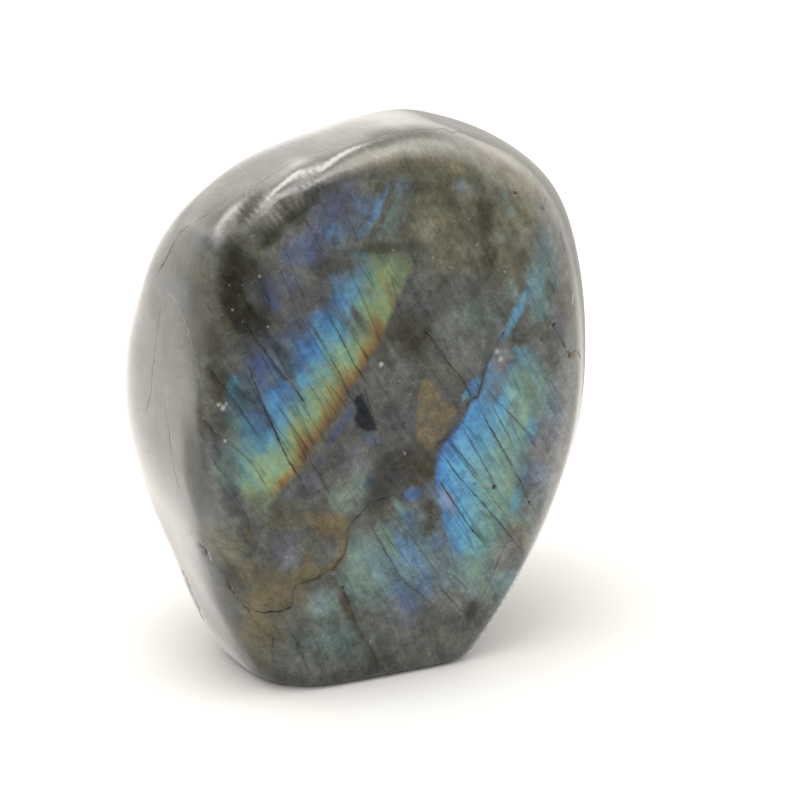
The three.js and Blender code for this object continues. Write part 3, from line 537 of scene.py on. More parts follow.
    ("umber", 0.50, 1.2, (9.8, -31.6, 77), (1.8, 0.1, 0.1), (0.4, -0.1, -2.4)),
    ("sand", 0.35, 1.2, (6, -29.8, 88.4), (3, 0, -0.3), (-0.3, -0.5, -1.9)),
    ("mist_and_highlight", 0.30, 1.2, (18, -30.7, 79.5), (3.4, 0.5, -0.4), (-0.1, -0.3, -2.7)),
    ("umber", 0.40, 1.2, (6.2, -31.8, 76.7), (2.3, 0.1, -0.3), (0, -0.1, -1.2)),
    ("tealgrey", 0.60, 1.3, (13.5, -29.9, 86.7), (1.2, 0.1, -0.2), (-0.5, -0.5, -1.7)),
    ("paleteal", 0.55, 1.4, (14.6, -30.4, 84.4), (1, 0.1, -0.1), (-0.1, -0.2, -1)),
    ("fog", 0.55, 1.2, (13.3, -31.2, 80.1), (3, 0.2, -0.3), (-0.1, -0.2, -1.5)),
    ("sand", 0.45, 1.2, (-1, -31.1, 83.1), (3.2, 0.2, 0.7), (0.8, -0.5, -2.5)),
    ("bronze", 0.40, 1.4, (1.9, -31, 83.5), (0.6, 0, -0.1), (-0.2, -0.3, -1.5)),
    ("bluegrey", 0.45, 1.1, (21.3, -30.2, 77.7), (3.8, 1.1, -0.3), (0.3, -0.4, -3.8)),
    ("paleteal", 0.55, 1.2, (17.8, -31.2, 73), (1.7, 0.2, -0.2), (0, -0.1, -2.1)),
    ("umber", 0.40, 1.2, (-2.5, -29.6, 89.4), (2.2, 0, -0.2), (-0.2, -0.3, -1.3)),
    ("bluegrey", 0.50, 1.3, (5.4, -29.6, 89.4), (1.3, 0, -0.1), (-0.2, -0.4, -1.4)),
    ("paleteal", 0.55, 1.2, (20.3, -31.2, 67.8), (3, 0.4, -0.4), (0, -0.2, -4.9)),
    ("slate", 0.40, 1.2, (6.4, -31.5, 80.4), (1.7, 0, -0.2), (-0.1, -0.2, -1.3)),
    ("umber", 0.35, 1.2, (15.8, -31.2, 76.7), (1.6, 0.1, -0.2), (0, -0.1, -1.7)),
    ("umber", 0.60, 1.4, (-0.8, -24, 98), (3.1, 0.8, 0.3), (-0.2, -0.5, -0.3)),
    ("umber", 0.60, 1.4, (5, -22.6, 97.9), (3.2, 0.7, -0.4), (-0.4, -0.8, -0.2)),
    ("umber", 0.60, 1.4, (10.9, -22, 96.3), (4.2, 0.9, -1.4), (-0.9, -1.4, -0.1)),
    ("bronze", 0.35, 1.3, (2.9, -28.1, 93.5), (9.2, 0.3, -0.9), (-0.2, -0.3, -0.5)),
    ("sand", 0.45, 1.2, (18.7, -28.5, 87.4), (3.6, 0.4, -2.1), (-4, -3.1, -2.7)),
    ("fog", 0.50, 1.3, (26.1, -26.9, 80.3), (3, 2.5, -0.5), (0.3, -1.2, -3.6)),
    ("tealgrey", 0.40, 1.2, (21.8, -30.4, 74.9), (2.3, 0.6, -0.1), (0.8, -0.5, -5.9)),
    ("bluegrey", 0.60, 1.4, (-14.7, -30.8, 54.6), (0.6, 0, 0.2), (0.5, 0.1, -1)),
    ("soot", 0.35, 1.4, (-24.9, -30.1, 86.7), (2.1, 0.2, 1.2), (0.6, -0.2, -0.9)),
    ("olive", 0.50, 1.5, (-33.5, -29.4, 82.2), (0.3, -0.1, 0.3), (1.7, -0.6, -1.7)),
    ("olive", 0.35, 1.5, (-31.3, -29.9, 81.5), (0.4, -0.1, 0.4), (1.5, -0.4, -1.7)),
    ("umber", 0.35, 1.3, (-34.9, -29.1, 75.4), (0.8, -0.2, 0.2), (0.5, -0.1, -2)),
    ("deepteal", 0.85, 1.3, (-35.7, -28.9, 58.3), (1.3, -0.3, 0.6), (1.6, -0.4, -3.8)),
    ("deepteal", 0.55, 1.2, (-34.3, -29.1, 51.5), (1.4, -0.3, 0.5), (1.5, -0.1, -4)),
    ("slate", 0.70, 1.2, (-39.3, -27.7, 48.7), (1.5, -0.7, 0.4), (0.7, -0.1, -3.1)),
    ("deepteal", 0.50, 1.3, (-37.2, -28.5, 54.2), (0.9, -0.2, 0.4), (1.1, -0.2, -2.6)),
    ("lilac", 0.50, 1.2, (-22.6, -29.3, 41.9), (2.2, 0, -0.3), (0.1, 0.3, -2.2)),
    ("fog", 0.60, 1.2, (-15.4, -29.1, 39.9), (2.4, -0.2, 1.4), (1.1, 0.2, -1.7)),
    ("fog", 0.35, 1.2, (-7.2, -31, 55.4), (2.1, -0.1, 0.5), (2, 0.3, -4.6)),
    ("slate", 0.40, 1.2, (-8.6, -30, 45.5), (2.6, 0, -0.4), (0.1, 0.2, -1.9)),
    ("fog", 0.80, 1.3, (-36.7, -26.6, 35.2), (1.8, -0.8, 0), (0.2, 0.5, -2.3)),
    ("fog", 0.45, 1.3, (-31, -27.3, 31.5), (2.1, -0.3, -0.2), (0.1, 0.4, -1.9)),
    ("sand", 0.50, 1.3, (-38.5, -23.4, 31.9), (0.8, -2.3, 1.1), (1.1, 0.8, -3.5)),
    ("tan", 0.40, 1.5, (-33.3, -27.1, 32.6), (0.4, -0.1, 0.2), (0.7, 0.2, -1.6)),
    ("sand", 0.35, 1.5, (-34.8, -26.8, 33.2), (0.3, -0.1, 0.1), (0.6, 0.1, -1.3)),
    ("sand", 0.70, 1.3, (-23.6, -26.1, 19.5), (1.7, -0.2, 0.4), (0.6, 0.2, -1.5)),
    ("bronze", 0.35, 1.2, (-27.6, -28.5, 37.1), (3.2, -0.3, 1.1), (0.8, 0.2, -1.6)),
    ("lilac", 0.55, 1.3, (-25.5, -27.1, 27), (1.6, -0.1, -0.7), (-0.5, 0.4, -2.5)),
    ("tan", 0.25, 1.3, (-30.5, -22.7, 15.4), (1.1, -1.5, 1.1), (1.4, 0.4, -3)),
    ("rust", 0.55, 1.4, (-15.1, -26, 16.9), (0.9, 0, 0.2), (1.2, 0.5, -2.8)),
    ("mist_and_highlight", 0.40, 1.3, (-21.7, -26, 18), (2.5, -0.2, 0.1), (0.5, 0.4, -2.4)),
    ("moss", 0.45, 1.3, (-8.7, -28.5, 33.6), (2.5, -0.1, 0.5), (0.9, 0.3, -2.3)),
    ("fog", 0.45, 1.3, (-17.3, -24.4, 8.1), (0.7, 0, 0), (1.5, 1, -5.4)),
    ("slate", 0.40, 1.3, (-14.4, -24.4, 7.9), (0.6, 0, 0), (1.8, 1.1, -5.8)),
    ("fog", 0.35, 1.3, (-11.7, -24, 6), (0.7, 0, 0.1), (1.5, 0.9, -5)),
    ("slate", 0.40, 1.3, (-22.4, -23.8, 7.9), (0.7, -0.2, 0.1), (1.3, 1.1, -4.7)),
    ("slate", 0.35, 1.3, (-19.5, -24.2, 7.5), (0.5, 0, 0), (1.4, 1, -5)),
    ("fog", 0.35, 1.2, (-3.5, -24.1, 5.5), (1.1, 0, 0.2), (1.9, 0.8, -4.6)),
    ("umber", 0.35, 1.2, (4.7, -23.7, 4.3), (1.1, 0, 0.3), (1.9, 0.7, -3.8)),
]
# soft patches of flash: strength, hue (0 violet .. 1 red), lightness, edge power, centre and half axes (mm)
FLASHES = [
    (0.24, 0.08, 1.15, 1, (-20.9, -30.6, 84.9), (8.2, 1.2, 7.4), (3.2, -0.6, -3)),
    (0.18, 0.14, 1.08, 1.2, (-19.9, -30.1, 87.4), (3.1, 0.6, 2.7), (2, -0.5, -1.8)),
    (0.30, 0.11, 1.12, 1.2, (-25, -30.9, 81.7), (2.5, 0.1, 3), (2, -0.4, -1.6)),
    (0.26, 0.20, 1.00, 1.3, (-27.2, -30.7, 80.9), (1, -0.2, -0.1), (-0.1, -0.1, -1.5)),
    (0.16, 0.50, 0.90, 1.2, (-18.6, -31, 83.1), (1.9, 0.1, 0.8), (1.4, -0.5, -2.6)),
    (0.27, 0.26, 1.10, 1.4, (-10.7, -30.2, 87.2), (0.7, -0.1, -0.4), (-2.2, -0.7, -3.3)),
    (0.22, 0.24, 1.10, 1.4, (-14, -31, 83.7), (0.6, -0.1, -0.3), (-1.1, -0.3, -1.7)),
    (0.18, 0.34, 1.05, 1.2, (-5.6, -29.5, 90), (1.3, -0.1, -0.6), (-0.9, -0.4, -1.6)),
    (0.30, 0.54, 0.92, 1.3, (-8.2, -30.7, 84.9), (1.5, -0.1, -0.6), (-1.3, -0.5, -2.5)),
    (0.26, 0.34, 1.12, 1.4, (-9.3, -29.9, 88.7), (0.4, -0.1, -0.2), (-2.2, -0.7, -2.9)),
    (0.28, 0.50, 1.00, 1.4, (-7.5, -30.3, 86.9), (0.4, 0, -0.2), (-1.9, -0.6, -2.7)),
    (0.14, 0.28, 1.10, 1.4, (-13.4, -30.5, 86.2), (0.4, -0.1, -0.2), (-2.2, -0.6, -2.9)),
    (0.12, 0.22, 1.05, 1.4, (-16.6, -30.8, 84.5), (0.4, -0.1, -0.2), (-2.3, -0.6, -2.9)),
    (0.20, 0.44, 1.00, 1.4, (-11.7, -30.8, 84.7), (0.4, 0, -0.2), (-1.8, -0.5, -2.4)),
    (0.12, 0.18, 1.05, 1.4, (-19.5, -31.1, 82.7), (0.4, -0.1, -0.3), (-2, -0.4, -2.6)),
    (0.22, 0.15, 1.05, 1.4, (-22.8, -31.1, 81.2), (0.4, -0.1, -0.3), (-1.7, -0.2, -2.4)),
    (0.18, 0.50, 0.95, 1.4, (-4.6, -30.1, 87.7), (0.4, 0, -0.2), (-1.8, -0.6, -2.5)),
    (0.24, 0.03, 1.10, 1.2, (-15.3, -29.5, 90.2), (1.6, -0.1, -0.1), (-0.2, -0.4, -1.2)),
    (0.75, 0.11, 0.80, 1.4, (-29.8, -30.3, 74.7), (1.1, -0.2, 0.3), (1, -0.2, -3.1)),
    (0.26, 0.20, 1.05, 1.3, (-27.3, -30.8, 76.2), (2, -0.4, -0.1), (0, 0, -2)),
    (0.28, 0.04, 1.00, 1.2, (-26.5, -31, 75.2), (1.6, -0.3, -0.1), (0, 0, -1.5)),
    (0.12, 0.16, 1.00, 1, (-16.1, -30.1, 87.7), (3, 0.5, 2.2), (2, -0.5, -2.2)),
    (0.16, 0.28, 1.00, 1.1, (-12.3, -30.1, 87.9), (2.5, -0.1, -0.2), (-0.2, -0.4, -1.9)),
    (0.60, 0.27, 1.02, 1.3, (-28.5, -30.3, 57.1), (1.5, -0.3, 0.6), (0.9, -0.1, -2.1)),
    (0.60, 0.22, 0.86, 1.3, (-32, -29.6, 53.4), (1.7, -0.3, 0.5), (0.8, 0, -2.4)),
    (0.60, 0.17, 0.92, 1.3, (-25.2, -31.2, 62.6), (1.5, -0.3, -0.1), (0, 0.1, -1.7)),
    (0.55, 0.18, 0.95, 1.3, (-31.7, -29.8, 62.8), (1.5, -0.3, -0.1), (0, 0, -1.5)),
    (0.45, 0.26, 1.10, 1.3, (-21.6, -31.9, 69.5), (1.1, -0.2, 1), (1.7, -0.2, -1.8)),
    (0.40, 0.24, 1.05, 1.3, (-23.7, -31.5, 65.7), (1.2, -0.2, 0.6), (1, -0.1, -1.9)),
    (0.40, 0.25, 1.00, 1.3, (-18.5, -32.2, 72.4), (1, 0, 0.9), (1.6, -0.2, -1.7)),
    (0.40, 0.44, 1.00, 1.3, (-19.7, -32, 65.9), (1.6, -0.1, -0.2), (0, 0.1, -1.6)),
    (0.50, 0.46, 1.08, 1.3, (-20.6, -31.5, 60.4), (1.3, -0.1, 0.3), (0.7, 0.2, -1.7)),
    (0.45, 0.80, 1.15, 1.3, (-20.1, -31.1, 57.3), (0.9, 0, -0.1), (0, 0.1, -1.1)),
    (0.45, 0.38, 1.05, 1.3, (-27.6, -30.2, 53), (1, -0.1, 0.3), (0.6, 0.1, -1.7)),
    (0.50, 0.44, 0.72, 1.3, (-33.3, -29.2, 50), (1.9, -0.4, 0.6), (0.9, 0, -2.7)),
    (0.40, 0.33, 1.05, 1.3, (-24.8, -31, 59.1), (1.4, -0.2, -0.1), (0, 0.1, -1.2)),
    (0.45, 0.60, 1.10, 1.3, (-17.3, -31.8, 63.3), (1.1, -0.1, 0.8), (2, 0.3, -2.4)),
    (0.40, 0.60, 1.05, 1.3, (-23.6, -30.8, 55.2), (1.5, -0.2, 1.1), (1.9, 0.1, -2.4)),
    (0.55, 0.63, 1.10, 1.3, (-29, -29.4, 45.5), (1.7, -0.3, 2), (2.2, 0, -2.1)),
    (0.50, 0.60, 1.04, 1.3, (-31.5, -28.8, 42.4), (1.7, -0.3, 1.3), (1.5, 0, -2)),
    (0.40, 0.55, 0.92, 1.2, (-33.6, -28.7, 44), (1.7, -0.3, 0.1), (0.5, 0.2, -2.5)),
    (0.35, 0.50, 0.80, 1.2, (-35.6, -28.6, 46.7), (1.4, -0.3, 0.3), (0.7, 0.1, -2.8)),
    (0.30, 0.46, 0.75, 1.2, (-35.5, -28.9, 60), (1.5, -0.3, -0.1), (0, 0, -1.5)),
    (0.35, 0.62, 0.95, 1.3, (-11.6, -32.3, 73.9), (1, 0, 0.9), (2.5, 0, -2.2)),
    (0.30, 0.70, 0.95, 1.3, (-9.1, -32.1, 77.7), (0.9, 0, -0.1), (-0.1, -0.1, -1.3)),
    (0.25, 0.72, 0.95, 1.3, (-5.9, -32.1, 77), (1.1, 0, -0.1), (0, -0.1, -1.3)),
    (0.34, 0.84, 1.25, 1.2, (-26.1, -29.4, 43.9), (0.9, 0.1, -1.3), (-2.5, 0.3, -1.7)),
    (0.30, 0.60, 1.15, 1.1, (-30.9, -29.1, 44.5), (3, -0.5, 1.5), (1.4, 0.1, -2.7)),
    (0.20, 0.05, 1.10, 1.3, (-22.6, -29.3, 41.9), (1.3, 0.1, -1), (-0.9, 0.2, -1.4)),
    (0.55, 0.10, 0.98, 1.3, (-18.3, -30.3, 49.7), (0.8, 0.1, -0.7), (-2.4, 0.3, -2.8)),
    (0.40, 0.16, 1.00, 1.3, (-16.1, -30.6, 52.8), (0.8, 0, -0.6), (-0.8, 0.1, -1.3)),
    (0.25, 0.06, 1.10, 1.3, (-20.7, -29.8, 45.5), (0.8, 0.1, -0.7), (-1.3, 0.2, -1.5)),
    (0.30, 0.02, 1.25, 1.3, (-26.1, -28.9, 39.1), (1.2, -0.1, 0.6), (0.6, 0.1, -1)),
    (0.25, 0.16, 1.10, 1.3, (-11.5, -29.2, 39.9), (0.6, 0, -0.2), (-0.4, 0.2, -1.6)),
    (0.25, 0.55, 0.95, 1.2, (-14.5, -29.1, 39.3), (3.1, -0.2, 0.7), (0.8, 0.2, -2)),
    (0.25, 0.58, 0.95, 1.2, (-17.2, -28.8, 37), (2.4, -0.1, 0.5), (0.9, 0.2, -2.2)),
    (0.25, 0.20, 0.90, 1.2, (-11.7, -30.1, 47.4), (2.1, 0, -0.3), (0.1, 0.2, -1.5)),
    (0.20, 0.30, 1.50, 1, (-2.7, -27.2, 24.1), (7.7, 0.6, -4), (-2.3, 1.4, -8.1)),
    (0.30, 0.53, 1.00, 1.2, (-12.3, -27.2, 23.8), (4.6, 0.3, -2), (-1.2, 0.9, -5.8)),
    (0.25, 0.50, 1.08, 1.3, (-13.7, -27.3, 24.8), (1.9, 0.1, -0.3), (0.2, 0.4, -2.5)),
    (0.60, 0.52, 1.12, 1.4, (-5.5, -28.6, 33.3), (0.7, -0.1, 0.3), (1.7, 0.3, -2.9)),
    (0.45, 0.55, 1.12, 1.4, (-7.6, -27.8, 28), (0.8, -0.1, 0.4), (2.2, 0.5, -3.7)),
    (0.72, 0.20, 1.38, 1.5, (-3.5, -29, 36.1), (1.8, -0.1, 0.2), (0.5, 0.2, -1.5)),
    (0.30, 0.16, 1.15, 1.3, (-3.3, -28.3, 31.2), (1.4, -0.1, 0.3), (1.1, 0.3, -2.7)),
    (0.17, 0.22, 1.60, 1.2, (-3.5, -27.4, 25.1), (1.6, -0.1, 0.7), (2.3, 0.6, -3.8)),
    (0.18, 0.24, 1.50, 1.3, (-0.1, -26.7, 21.3), (1.1, -0.1, 0.5), (2.5, 0.7, -3.8)),
    (0.24, 0.18, 1.60, 1.2, (0.8, -25.9, 16.8), (2.1, -0.1, 0.6), (1.3, 0.5, -2.6)),
    (0.30, 0.20, 1.35, 1.2, (-4, -25.9, 16.6), (1.7, 0, 0.2), (1.4, 0.7, -4.1)),
    (0.34, 0.20, 1.30, 1.3, (2.2, -27.6, 25.9), (1.6, 0, -0.3), (0.2, 0.3, -1.8)),
    (0.74, 0.37, 1.22, 1.4, (5.7, -27.7, 26.7), (1.4, -0.1, 0.4), (1.8, 0.7, -3.4)),
    (0.50, 0.32, 1.15, 1.3, (3.4, -28.3, 30), (1.3, -0.1, 0.3), (0.8, 0.3, -2)),
    (0.26, 0.42, 1.05, 1.3, (5.3, -26, 17.2), (2.4, 0.1, -0.4), (0.2, 0.4, -2.4)),
    (0.34, 0.53, 1.06, 1.2, (10.9, -27.1, 23.4), (3.3, 0.2, -1.1), (-0.6, 1.2, -6.9)),
    (0.22, 0.50, 1.00, 1.2, (9.6, -25.9, 16.2), (2.4, 0, -0.4), (0.4, 0.6, -3.7)),
    (0.36, 0.52, 1.08, 1.3, (-19.5, -26.1, 17.6), (2.9, -0.1, 0), (0.6, 0.4, -2.4)),
    (0.12, 0.50, 1.00, 1, (-16.9, -24.9, 10.8), (7, 0.2, -1.3), (0.3, 0.8, -4.5)),
    (0.25, 0.16, 1.30, 1.2, (-1.4, -25.5, 14.4), (2.4, 0.1, -0.4), (0.2, 0.5, -2.8)),
    (0.18, 0.48, 1.05, 1.1, (-8.7, -26.1, 17.3), (3.6, 0.1, -0.6), (0.3, 0.7, -4)),
    (0.42, 0.44, 1.12, 1.3, (7.9, -27.3, 24.5), (1.2, -0.1, 0.4), (1.5, 0.5, -2.8)),
    (0.26, 0.47, 1.10, 1.2, (-9.1, -26.8, 21.5), (1, -0.1, 0.4), (2.5, 0.7, -4.2)),
    (0.20, 0.48, 1.00, 1.2, (-13.9, -26.5, 19.4), (1, -0.1, 0.4), (2, 0.6, -3.4)),
    (0.20, 0.20, 1.10, 1.3, (-0.7, -28.4, 30.8), (0.8, 0, -0.1), (0.1, 0.2, -1.6)),
    (0.66, 0.38, 1.22, 1.4, (15.1, -31.6, 67), (0.9, 0, -0.5), (-1.8, -0.1, -3.5)),
    (0.30, 0.38, 1.15, 1.3, (12.8, -31.7, 63.2), (1, 0, -0.7), (-1.1, 0, -1.3)),
    (0.30, 0.48, 1.00, 1.2, (20.3, -31.3, 66.4), (1.9, 0.2, -0.3), (0, -0.1, -2.3)),
    (0.34, 0.42, 1.12, 1.2, (18.8, -31.2, 71.5), (2.1, 0.2, -0.6), (-0.9, -0.3, -4)),
    (0.18, 0.58, 0.92, 1.2, (16.9, -31.2, 56.1), (2.3, 0.2, -0.3), (0.3, 0.4, -4.4)),
    (0.25, 0.04, 1.25, 1.2, (24.9, -30.3, 62.8), (1.8, 0.6, -0.3), (0.1, 0, -3.6)),
    (0.20, 0.17, 1.35, 1.2, (21.1, -28.7, 36.2), (2.4, 0.4, -0.8), (-0.3, 0.5, -3.6)),
    (0.26, 0.28, 1.15, 1.2, (19.6, -30, 44.9), (1.5, 0.1, -0.2), (0.2, 0.3, -2.7)),
    (0.32, 0.34, 1.10, 1.2, (17.4, -28.3, 31.8), (1.3, 0.1, -0.5), (-0.5, 0.4, -2.6)),
    (0.05, 0.08, 1.38, 1, (23.5, -29.2, 42.3), (2.8, 0.6, -0.9), (-0.4, 0.8, -6.4)),
    (0.75, 0.30, 1.05, 1.5, (7.2, -31.1, 54.4), (1.1, 0, -0.6), (-0.9, 0.2, -1.9)),
    (0.55, 0.42, 1.05, 1.5, (5.5, -30.9, 52.9), (0.5, 0, -0.2), (-0.3, 0.1, -1)),
    (0.15, 0.46, 0.95, 1.2, (20.4, -30.3, 48.5), (1.7, 0.2, -0.4), (-0.1, 0.4, -4.8)),
]
BAND_EDGE = [(-32.4, 35.1), (-30, 38.9), (-19.7, 52), (-10.1, 66.8), (-5.2, 73.5), (-1.4, 78.7)]
BAND_TWO = [(0.6, 43.3), (2.6, 45.6), (4.4, 47.4), (5.8, 49.4), (6.8, 51.9), (8.1, 52.4), (9, 54.2),
            (9.2, 57), (10.2, 59.8), (12.5, 60.6), (17.1, 60), (22.5, 54.8), (26.8, 47.3), (27, 38.6),
            (25.1, 31.1), (23.2, 24.6), (21.5, 18.4), (197.3, -125.5), (14, 12.4), (9.6, 16.2),
            (6.3, 21.4), (4, 26.2), (2.8, 30.3), (1.3, 34.3), (0.5, 38.6)]
# where the second band is stronger or weaker: strength, edge power, centre and half axes (mm)
BAND_TWO_PARTS = [
    (0.12, 1.2, (2.5, -29.5, 39.8), (1.8, -0.1, 0.4), (1.9, 0.4, -4.5)),
    (-0.30, 1.2, (12.2, -31.3, 55.6), (2, 0, -0.2), (0.2, 0.3, -3.3)),
    (-0.20, 1.2, (15.3, -31.3, 56.3), (2.8, 0.1, -0.4), (0.3, 0.4, -4.1)),
    (-0.60, 1.3, (12, -31.6, 59.6), (3.1, 0, -0.4), (0.1, 0.1, -2.5)),
    (-0.50, 1.1, (16.6, -26.9, 23), (4.4, 0.6, -2.6), (-2.1, 0.7, -5)),
    (-0.45, 1.1, (12.4, -26.5, 19.8), (4.5, 0.1, -0.8), (0.3, 0.5, -3.2)),
    (-0.12, 1.2, (10.7, -30.6, 48.9), (1.6, 0, -0.2), (0.2, 0.3, -2.3)),
    (-0.15, 1, (20.2, -28.9, 37.1), (2.6, 0.4, -0.9), (-0.8, 1.4, -9.4)),
    (-0.62, 1.2, (3.5, -28.8, 33.6), (1.4, -0.1, 0.4), (1.8, 0.4, -3.8)),
    (-0.25, 1.1, (21.6, -29.2, 39.8), (2.2, 0.4, -0.7), (-0.7, 1, -7.5)),
    (-0.40, 1.3, (10.8, -31.1, 53.2), (1.8, 0, -0.5), (-0.3, 0.3, -2.5)),
    (-0.20, 1.2, (15, -30.6, 49.3), (2, 0.1, -0.6), (-0.3, 0.3, -2.5)),
    (-0.28, 1.2, (18.4, -30.8, 52.2), (1.7, 0.1, -0.2), (0.2, 0.3, -3)),
    (-0.30, 1.2, (14.1, -31.4, 56.8), (3.2, 0.1, -0.4), (0.2, 0.3, -3.7)),
    (-0.28, 1.2, (9.6, -31.4, 56.6), (1.3, 0, -0.6), (-0.7, 0.2, -2)),
]
# where the flash is quieter: strength, edge power, centre and half axes (mm)
QUIET = [
    (0.45, 1.2, (-23.6, -31.3, 61.6), (0.7, -0.1, 0.4), (0.8, 0, -1.4)),
    (0.50, 1.3, (-33.4, -29.4, 65.5), (1.5, -0.3, 0.5), (0.6, -0.1, -1.8)),
    (0.40, 1.3, (15.3, -30.5, 48.1), (1.4, 0.1, -0.4), (-0.2, 0.3, -3.1)),
    (0.55, 1.3, (3.3, -28.9, 34.2), (1.7, 0, 0), (0.5, 0.2, -2.1)),
    (0.60, 1.2, (-28.3, -30.6, 64.5), (1.7, -0.4, 0.5), (0.8, -0.2, -2.3)),
    (0.40, 1.2, (-26.6, -30.8, 59.7), (0.9, -0.2, 0.4), (0.9, -0.1, -1.7)),
    (0.45, 1.2, (-34.2, -29.2, 58.8), (0.9, -0.2, 0.4), (1.1, -0.2, -2.3)),
    (0.45, 1.4, (-30.2, -30.1, 65.3), (0.4, -0.1, 0.3), (3.5, -0.8, -5.9)),
    (0.50, 1.4, (-17.5, -32.3, 69.3), (0.5, 0, 0.4), (2.9, 0, -3.4)),
    (0.35, 1.4, (-19.5, -31.5, 60.6), (0.4, 0, 0.2), (2.5, 0.5, -4.3)),
    (0.35, 1.4, (-25.1, -30.3, 52), (0.4, 0, 0.2), (2.2, 0.3, -4.4)),
    (0.40, 1.2, (-26.7, -30.9, 62.3), (2, -0.5, 1.6), (1.7, -0.3, -2.2)),
    (0.50, 1.3, (-16.5, -32, 77.4), (1.9, -0.1, -0.2), (-0.1, -0.2, -1.5)),
    (0.30, 1.2, (-16.7, -32.3, 70.4), (1, 0, 0.6), (2.1, 0, -3)),
    (0.28, 1.2, (-31.6, -29.7, 54.3), (2.1, -0.4, 0.8), (1.5, -0.1, -3.6)),
    (0.55, 1.3, (-8.8, -32.2, 73.2), (1.1, 0, 0.6), (1.3, 0.1, -1.8)),
    (0.35, 1.3, (11, -31.1, 53.2), (1.8, 0, -0.5), (-0.3, 0.3, -2.5)),
    (0.28, 1.3, (-26.9, -30.5, 56.5), (1.8, -0.3, 0.9), (1.2, 0, -2.2)),
    (0.45, 1.3, (12.2, -31.6, 58.9), (2.1, 0, -0.6), (-0.4, 0.2, -2.8)),
    (0.50, 1.3, (-13.6, -32.3, 74.4), (1.6, 0, -0.2), (0, -0.1, -1.5)),
    (0.45, 1.3, (-36.6, -28.2, 45), (1.4, -0.4, 0.4), (0.8, 0, -2.4)),
    (0.45, 1.3, (-15.6, -32.3, 70.3), (0.6, 0, 0.3), (1.1, 0, -1.5)),
    (0.60, 1.3, (-14.1, -32.2, 68.4), (0.8, 0, 0.6), (2.3, 0.3, -2.6)),
    (0.80, 1.3, (-18, -31.7, 78.7), (4.2, -0.1, 0.4), (0.2, -0.2, -1.3)),
    (0.80, 1.3, (-10.6, -31.5, 81.1), (4.7, 0, 0), (0, -0.2, -1.3)),
    (0.45, 1.3, (-18.3, -31.1, 82.4), (1.8, -0.1, -0.2), (-0.1, -0.2, -1.3)),
    (0.75, 1.3, (-24.8, -30.2, 86.5), (1.9, 0.2, 1.1), (0.7, -0.3, -1.1)),
    (0.90, 1.3, (-36.1, -27.6, 39.2), (1.6, -0.5, 0.6), (1.2, 0.2, -3.5)),
    (0.50, 1.3, (-30, -30.1, 60.2), (0.9, -0.2, 0.4), (0.7, -0.1, -1.6)),
    (0.35, 1.3, (-27, -30.9, 65.9), (1.3, -0.3, -0.1), (0, 0, -1.4)),
    (0.55, 1.3, (-34.7, -29.1, 57.4), (1, -0.2, 0.5), (1.1, -0.2, -2.5)),
    (0.55, 1.3, (-32.1, -28.4, 39.2), (2, -0.4, 1.1), (0.9, 0.1, -1.7)),
    (0.40, 1.3, (-22.3, -31.8, 73.2), (1.3, -0.2, -0.1), (0, 0, -1.3)),
    (0.30, 1.3, (-16.3, -32.2, 67.1), (0.6, 0, 0.3), (1.5, 0.2, -2.2)),
    (0.35, 1.3, (-23.3, -31.3, 60.3), (0.5, -0.1, 0.3), (1.3, 0.1, -2.3)),
    (0.30, 1.3, (-29.9, -29.8, 51.5), (0.5, -0.1, 0.2), (1.3, 0, -3)),
    (0.75, 1.3, (-0.3, -28.6, 32.3), (1.6, 0, -0.2), (0.2, 0.4, -3.1)),
    (0.40, 1.3, (-19.8, -31.3, 81.3), (0.7, 0.1, 0.5), (2.3, -0.5, -2.5)),
]
# where fine streaks lean the other way: edge power, centre and half axes (mm)
CROSS_PATCHES = [
    (1.2, (-16.7, -30.6, 85.5), (9.6, 0.9, 4.9), (3.4, -1.2, -5.3)),
    (1.2, (-7.4, -30.2, 87.4), (4.8, -0.1, -0.4), (-0.6, -1.1, -4.8)),
]
# duller, cracked strips between the flutes: strength, edge power, centre and half axes (mm)
DULL_PATCHES = [
    (1.00, 1.6, (-31.8, -26.9, 88.7), (3.5, 1.6, 3), (0.6, -1.4, -0.6)),
    (0.12, 1.5, (-36.8, -26.1, 85.5), (2.9, 0.3, 3.1), (0.6, -1.3, -0.6)),
    (0.50, 1.5, (-22.1, -27.5, 91.9), (3.2, 1.3, 1.8), (0.2, -0.6, -0.3)),
    (0.50, 1.3, (-42.2, -25.7, 71.1), (1, -3.4, 1.3), (0.9, -3.2, -7.4)),
    (0.45, 1.3, (-42.3, -20.7, 79.4), (0.8, -5.2, 1), (-0.6, -1.2, -3)),
    (0.75, 1.4, (-41.5, -23.9, 43.1), (0.9, -3.2, 1.2), (2, -0.3, -11.5)),
]
